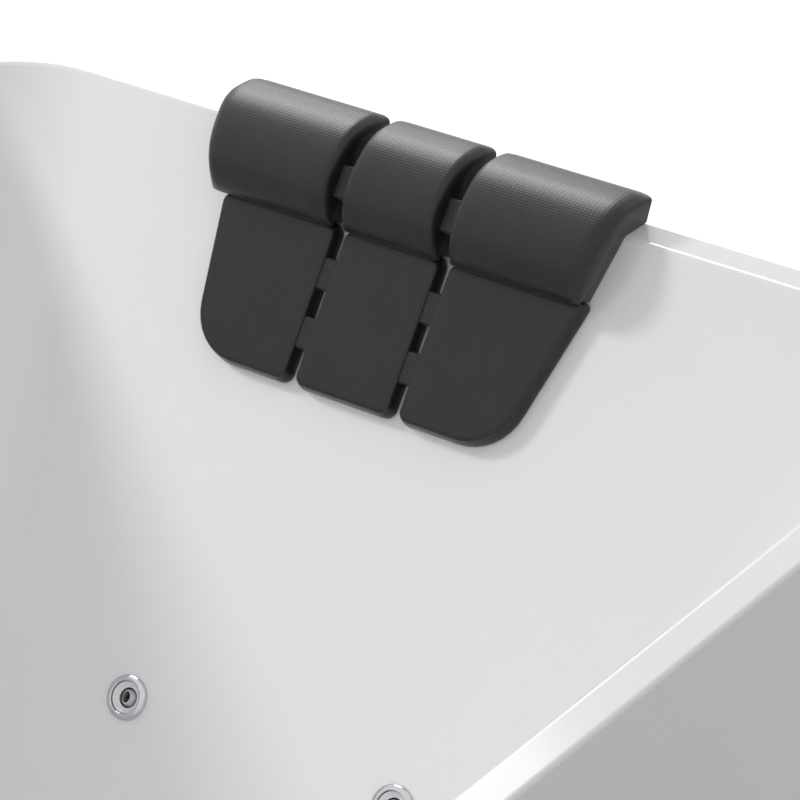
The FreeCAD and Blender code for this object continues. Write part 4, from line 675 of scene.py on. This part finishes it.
# %% Pads
PAD_TOP, PAD_BOTTOM, PAD_THICKNESS = 0.0495, 0.157, 0.0116
HALF_PAD, INNER_PAD = 0.0375, 0.046
TIGHT_ROUND, SMALL_ROUND, LARGE_ROUND, PAD_EDGE = 0.0025, 0.007, 0.038, 0.003
PAD_OUTLINES = {
    "right": ([(PAD_TOP, -0.1472), (PAD_TOP, -INNER_PAD), (PAD_BOTTOM, -INNER_PAD),
               (PAD_BOTTOM, -0.1195)], (TIGHT_ROUND, SMALL_ROUND, SMALL_ROUND, LARGE_ROUND)),
    "centre": ([(PAD_TOP, -HALF_PAD), (PAD_TOP, HALF_PAD), (PAD_BOTTOM, HALF_PAD),
                (PAD_BOTTOM, -HALF_PAD)], (SMALL_ROUND,) * 4),
    "left": ([(PAD_TOP, INNER_PAD), (PAD_TOP, 0.1396), (PAD_BOTTOM, 0.1231),
              (PAD_BOTTOM, INNER_PAD)], (SMALL_ROUND, SMALL_ROUND, LARGE_ROUND, SMALL_ROUND)),
}
PAD_RINGS = [(-0.001, 0), (-0.0016, 0.0006), (-0.0017, 0.002), (-0.0013, 0.005), (-0.0006, 0.0074)]
PAD_EDGE_STEPS = 6
for turn in range(PAD_EDGE_STEPS + 1):
    angle = math.radians(90 * turn / PAD_EDGE_STEPS)
    PAD_RINGS.append((PAD_EDGE * (1 - math.cos(angle)),
                      PAD_THICKNESS - PAD_EDGE * (1 - math.sin(angle))))
FACE_SHARES, FACE_CROWN = (0.82, 0.6, 0.38, 0.16), 0.0005
ROUND_KEPT, LEAST_ROUND = 0.75, 0.0022        # how a corner's radius follows an inset


def inset_outline(corners, radii, inset, arc_steps=9, side_steps=12):
    """Places round a four-sided outline, moved in by the inset, with rounded corners."""
    moved, rounds = [], []
    for index, corner in enumerate(corners):
        here = Vector(corner)
        back = (Vector(corners[index - 1]) - here).normalized()
        ahead = (Vector(corners[(index + 1) % 4]) - here).normalized()
        half = back.angle(ahead) / 2
        moved.append(here + (back + ahead).normalized() * (inset / math.sin(half)))
        rounds.append((max(radii[index] - inset * ROUND_KEPT, LEAST_ROUND), back, ahead, half))
    places = []
    for index, (radius, back, ahead, half) in enumerate(rounds):
        hub = moved[index] + (back + ahead).normalized() * (radius / math.sin(half))
        first = moved[index] + back * (radius / math.tan(half)) - hub
        last = moved[index] + ahead * (radius / math.tan(half)) - hub
        whole = first.angle(last)
        for step in range(arc_steps):
            t = step / (arc_steps - 1)
            places.append(hub + (first * math.sin((1 - t) * whole) + last * math.sin(t * whole))
                          / math.sin(whole))
        follow = rounds[(index + 1) % 4]
        ahead_start = moved[(index + 1) % 4] + follow[1] * (follow[0] / math.tan(follow[3]))
        start = places[-1]
        for step in range(1, side_steps):
            places.append(start.lerp(ahead_start, step / side_steps))
    return places


def make_pad(name, corners, radii):
    points, places, faces = [], [], []
    rings = [inset_outline(corners, radii, inset) for inset, _ in PAD_RINGS]
    heights = [height + GAP for _, height in PAD_RINGS]
    hub = sum(rings[-1], Vector((0, 0))) / len(rings[-1])
    for share in FACE_SHARES:
        rings.append([hub.lerp(place, share) for place in rings[len(PAD_RINGS) - 1]])
        heights.append(GAP + PAD_THICKNESS + FACE_CROWN * (1 - share * share))
    count = len(rings[0])
    for ring, height in zip(rings, heights):
        for down, y in ring:
            points.append(in_frame(on_slope(down, height), CENTRE_Y + y))
            places.append((y * TO_MM, down * TO_MM, 0))
    for row in range(len(rings) - 1):
        for index in range(count):
            a, b = row * count + index, row * count + (index + 1) % count
            faces.append((a, b, b + count, a + count))
    points.append(in_frame(on_slope(hub.x, heights[-1]), CENTRE_Y + hub.y))
    places.append((hub.y * TO_MM, hub.x * TO_MM, 0))
    last = (len(rings) - 1) * count
    faces += [(last + index, last + (index + 1) % count, len(points) - 1) for index in range(count)]
    faces.append(tuple(range(count)))
    return mesh_object(name, points, faces, places)


for side, (corners, radii) in PAD_OUTLINES.items():
    pad = fit_foam(make_pad(f"pad_{side}", corners, radii), f"headrest_pad_{side}")
    print(pad.name, len(pad.data.polygons), "faces")

# %% [markdown]
# ## The webs
# Thin tongues of the same foam join roll to roll and pad to pad, so that the
# headrest is one moulding. Each is a low block whose long edges are well rounded.

# %% Webs
# A web is half its length down the wall, its height, and the two sides that it joins.
ROLL_WEB = (0.01125, 0.0245, HALF_ROLL, INNER_ROLL)
PAD_WEB = (0.011, 0.010, HALF_PAD, INNER_PAD)
WEB_ROWS = ((0.022, *ROLL_WEB), (0.082, *PAD_WEB), (0.123, *PAD_WEB))
WEB_EMBED = 0.004                             # how far its ends are sunk in them
WEB_EDGE, WEB_EDGE_STEPS, WEB_LONGEST, WEB_CUTS = 0.0016, 4, 0.004, 3


def make_webs():
    bm = bmesh.new()
    for down, half, height, near, far in WEB_ROWS:
        for side in (-1, 1):
            across = (CENTRE_Y + side * (near - WEB_EMBED), CENTRE_Y + side * (far + WEB_EMBED))
            corners = [[bm.verts.new(in_frame(on_slope(d, off), y)) for d, off in
                        ((down - half, GAP), (down + half, GAP), (down + half, height),
                         (down - half, height))]
                       for y in across]
            one, two = corners
            for k in range(4):
                bm.faces.new((one[k], one[(k + 1) % 4], two[(k + 1) % 4], two[k]))
            bm.faces.new(one)
            bm.faces.new(two)
    bmesh.ops.recalc_face_normals(bm, faces=bm.faces)
    bmesh.ops.bevel(bm, geom=bm.edges, offset=WEB_EDGE, segments=WEB_EDGE_STEPS, profile=0.5,
                    affect="EDGES")
    long_edges = [edge for edge in bm.edges if edge.calc_length() > WEB_LONGEST]
    bmesh.ops.subdivide_edges(bm, edges=long_edges, cuts=WEB_CUTS, use_grid_fill=True)
    mesh = bpy.data.meshes.new("roll_and_pad_webs")
    bm.to_mesh(mesh)
    bm.free()
    places = [(v.co.y * TO_MM, (RIM_LEVEL - v.co.z) / math.cos(HEAD_SLOPE) * TO_MM, 0)
              for v in mesh.vertices]
    skin_place_layer(mesh, places)
    for face in mesh.polygons:
        face.use_smooth = True
    made = bpy.data.objects.new("roll_and_pad_webs", mesh)
    bpy.context.scene.collection.objects.link(made)
    return made


webs = fit_foam(make_webs(), "headrest_webs")
print(webs.name, len(webs.data.polygons), "faces")

# %% [markdown]
# ## Floor and light
# A plain studio: a pale floor that runs off to white, an even dome of light, a
# lamp past the far side that throws the headrest's shadow along the wall, and three
# soft lamps behind the head end that draw a bloom on the rolls and the rim. Only the
# camera, reflections and what shines through see the dome at full white; surfaces
# are lit by it at a plain level. The far lamp isn't seen in gloss, and one of the
# other three is seen only there, so that the bloom lies on the rolls' tops and their
# fronts stay even.

# %% Floor
FLOOR_HALF, FLOOR_SQUARES, FLOOR_DROP, FLOOR_SHINE = 14, 24, 0.0005, 0.7


def make_floor():
    f = Finish("studio_floor", Roughness=0.8)
    f.feed(Base_Color=f.blend_colours(f.ramp(f.noise(1.5, 3.0), 0.3, 0.7), rgba(0.75), rgba(0.76)))
    seen = f.add("LightPath").outputs["Is Camera Ray"]
    f.feed(Emission_Strength=f.math("MULTIPLY", seen, FLOOR_SHINE))
    f.shader.inputs["Emission Color"].default_value = (1, 1, 1, 1)
    bm = bmesh.new()
    bmesh.ops.create_grid(bm, x_segments=FLOOR_SQUARES, y_segments=FLOOR_SQUARES, size=FLOOR_HALF)
    mesh = bpy.data.meshes.new("studio_floor")
    bm.to_mesh(mesh)
    bm.free()
    mesh.materials.append(f.material)
    floor = bpy.data.objects.new("studio_floor", mesh)
    floor.location.z = -FLOOR_DROP
    bpy.context.scene.collection.objects.link(floor)
    return floor


print("floor", make_floor().name)

# %% Dome and lamps
DOME_LEVEL = 0.6
LAMPS = {                                     # place, aim, width in metres, power in watts
    "far_lamp": ((-0.47, 3.25, 3.08), (0.78, 0.0, 0.58), 0.85, 66.0),
    "crest_lamp": ((3.34, 2.15, 3.6), (0.78, 0.0, 0.6), 1.2, 10.0),
    "crest_glow": ((2.62, 2.3, 4.14), (0.78, 0.0, 0.6), 2.2, 95.0),
    "rim_box": ((5.8, 4.7, 4.4), (0.6, 0.0, 0.6), 2.8, 60.0),
}
UNSEEN_IN_GLOSS, ONLY_IN_GLOSS = "far_lamp", "crest_glow"


def make_dome():
    world = bpy.data.worlds.new("studio_dome")
    world.use_nodes = True
    w = Wiring(world.node_tree)
    path = w.add("LightPath").outputs
    seen = w.math("MAXIMUM", path["Is Camera Ray"],
                  w.math("MAXIMUM", path["Is Glossy Ray"], path["Is Transmission Ray"]))
    w.put(w.ramp(seen, 0.0, 1.0, DOME_LEVEL, 1.0),
          world.node_tree.nodes["Background"].inputs["Strength"])
    world.node_tree.nodes["Background"].inputs["Color"].default_value = (1, 1, 1, 1)
    bpy.context.scene.world = world
    return world


def make_lamp(name, place, aim, width, power):
    data = bpy.data.lights.new(name, "AREA")
    data.shape, data.size, data.energy = "DISK", width, power
    lamp = bpy.data.objects.new(name, data)
    lamp.location = place
    lamp.rotation_euler = (Vector(aim) - Vector(place)).to_track_quat("-Z", "Y").to_euler()
    bpy.context.scene.collection.objects.link(lamp)
    return lamp


print("dome", make_dome().name)
for name, values in LAMPS.items():
    print("lamp", make_lamp(name, *values).name)
bpy.data.objects[UNSEEN_IN_GLOSS].visible_glossy = False
bpy.data.objects[ONLY_IN_GLOSS].visible_diffuse = False
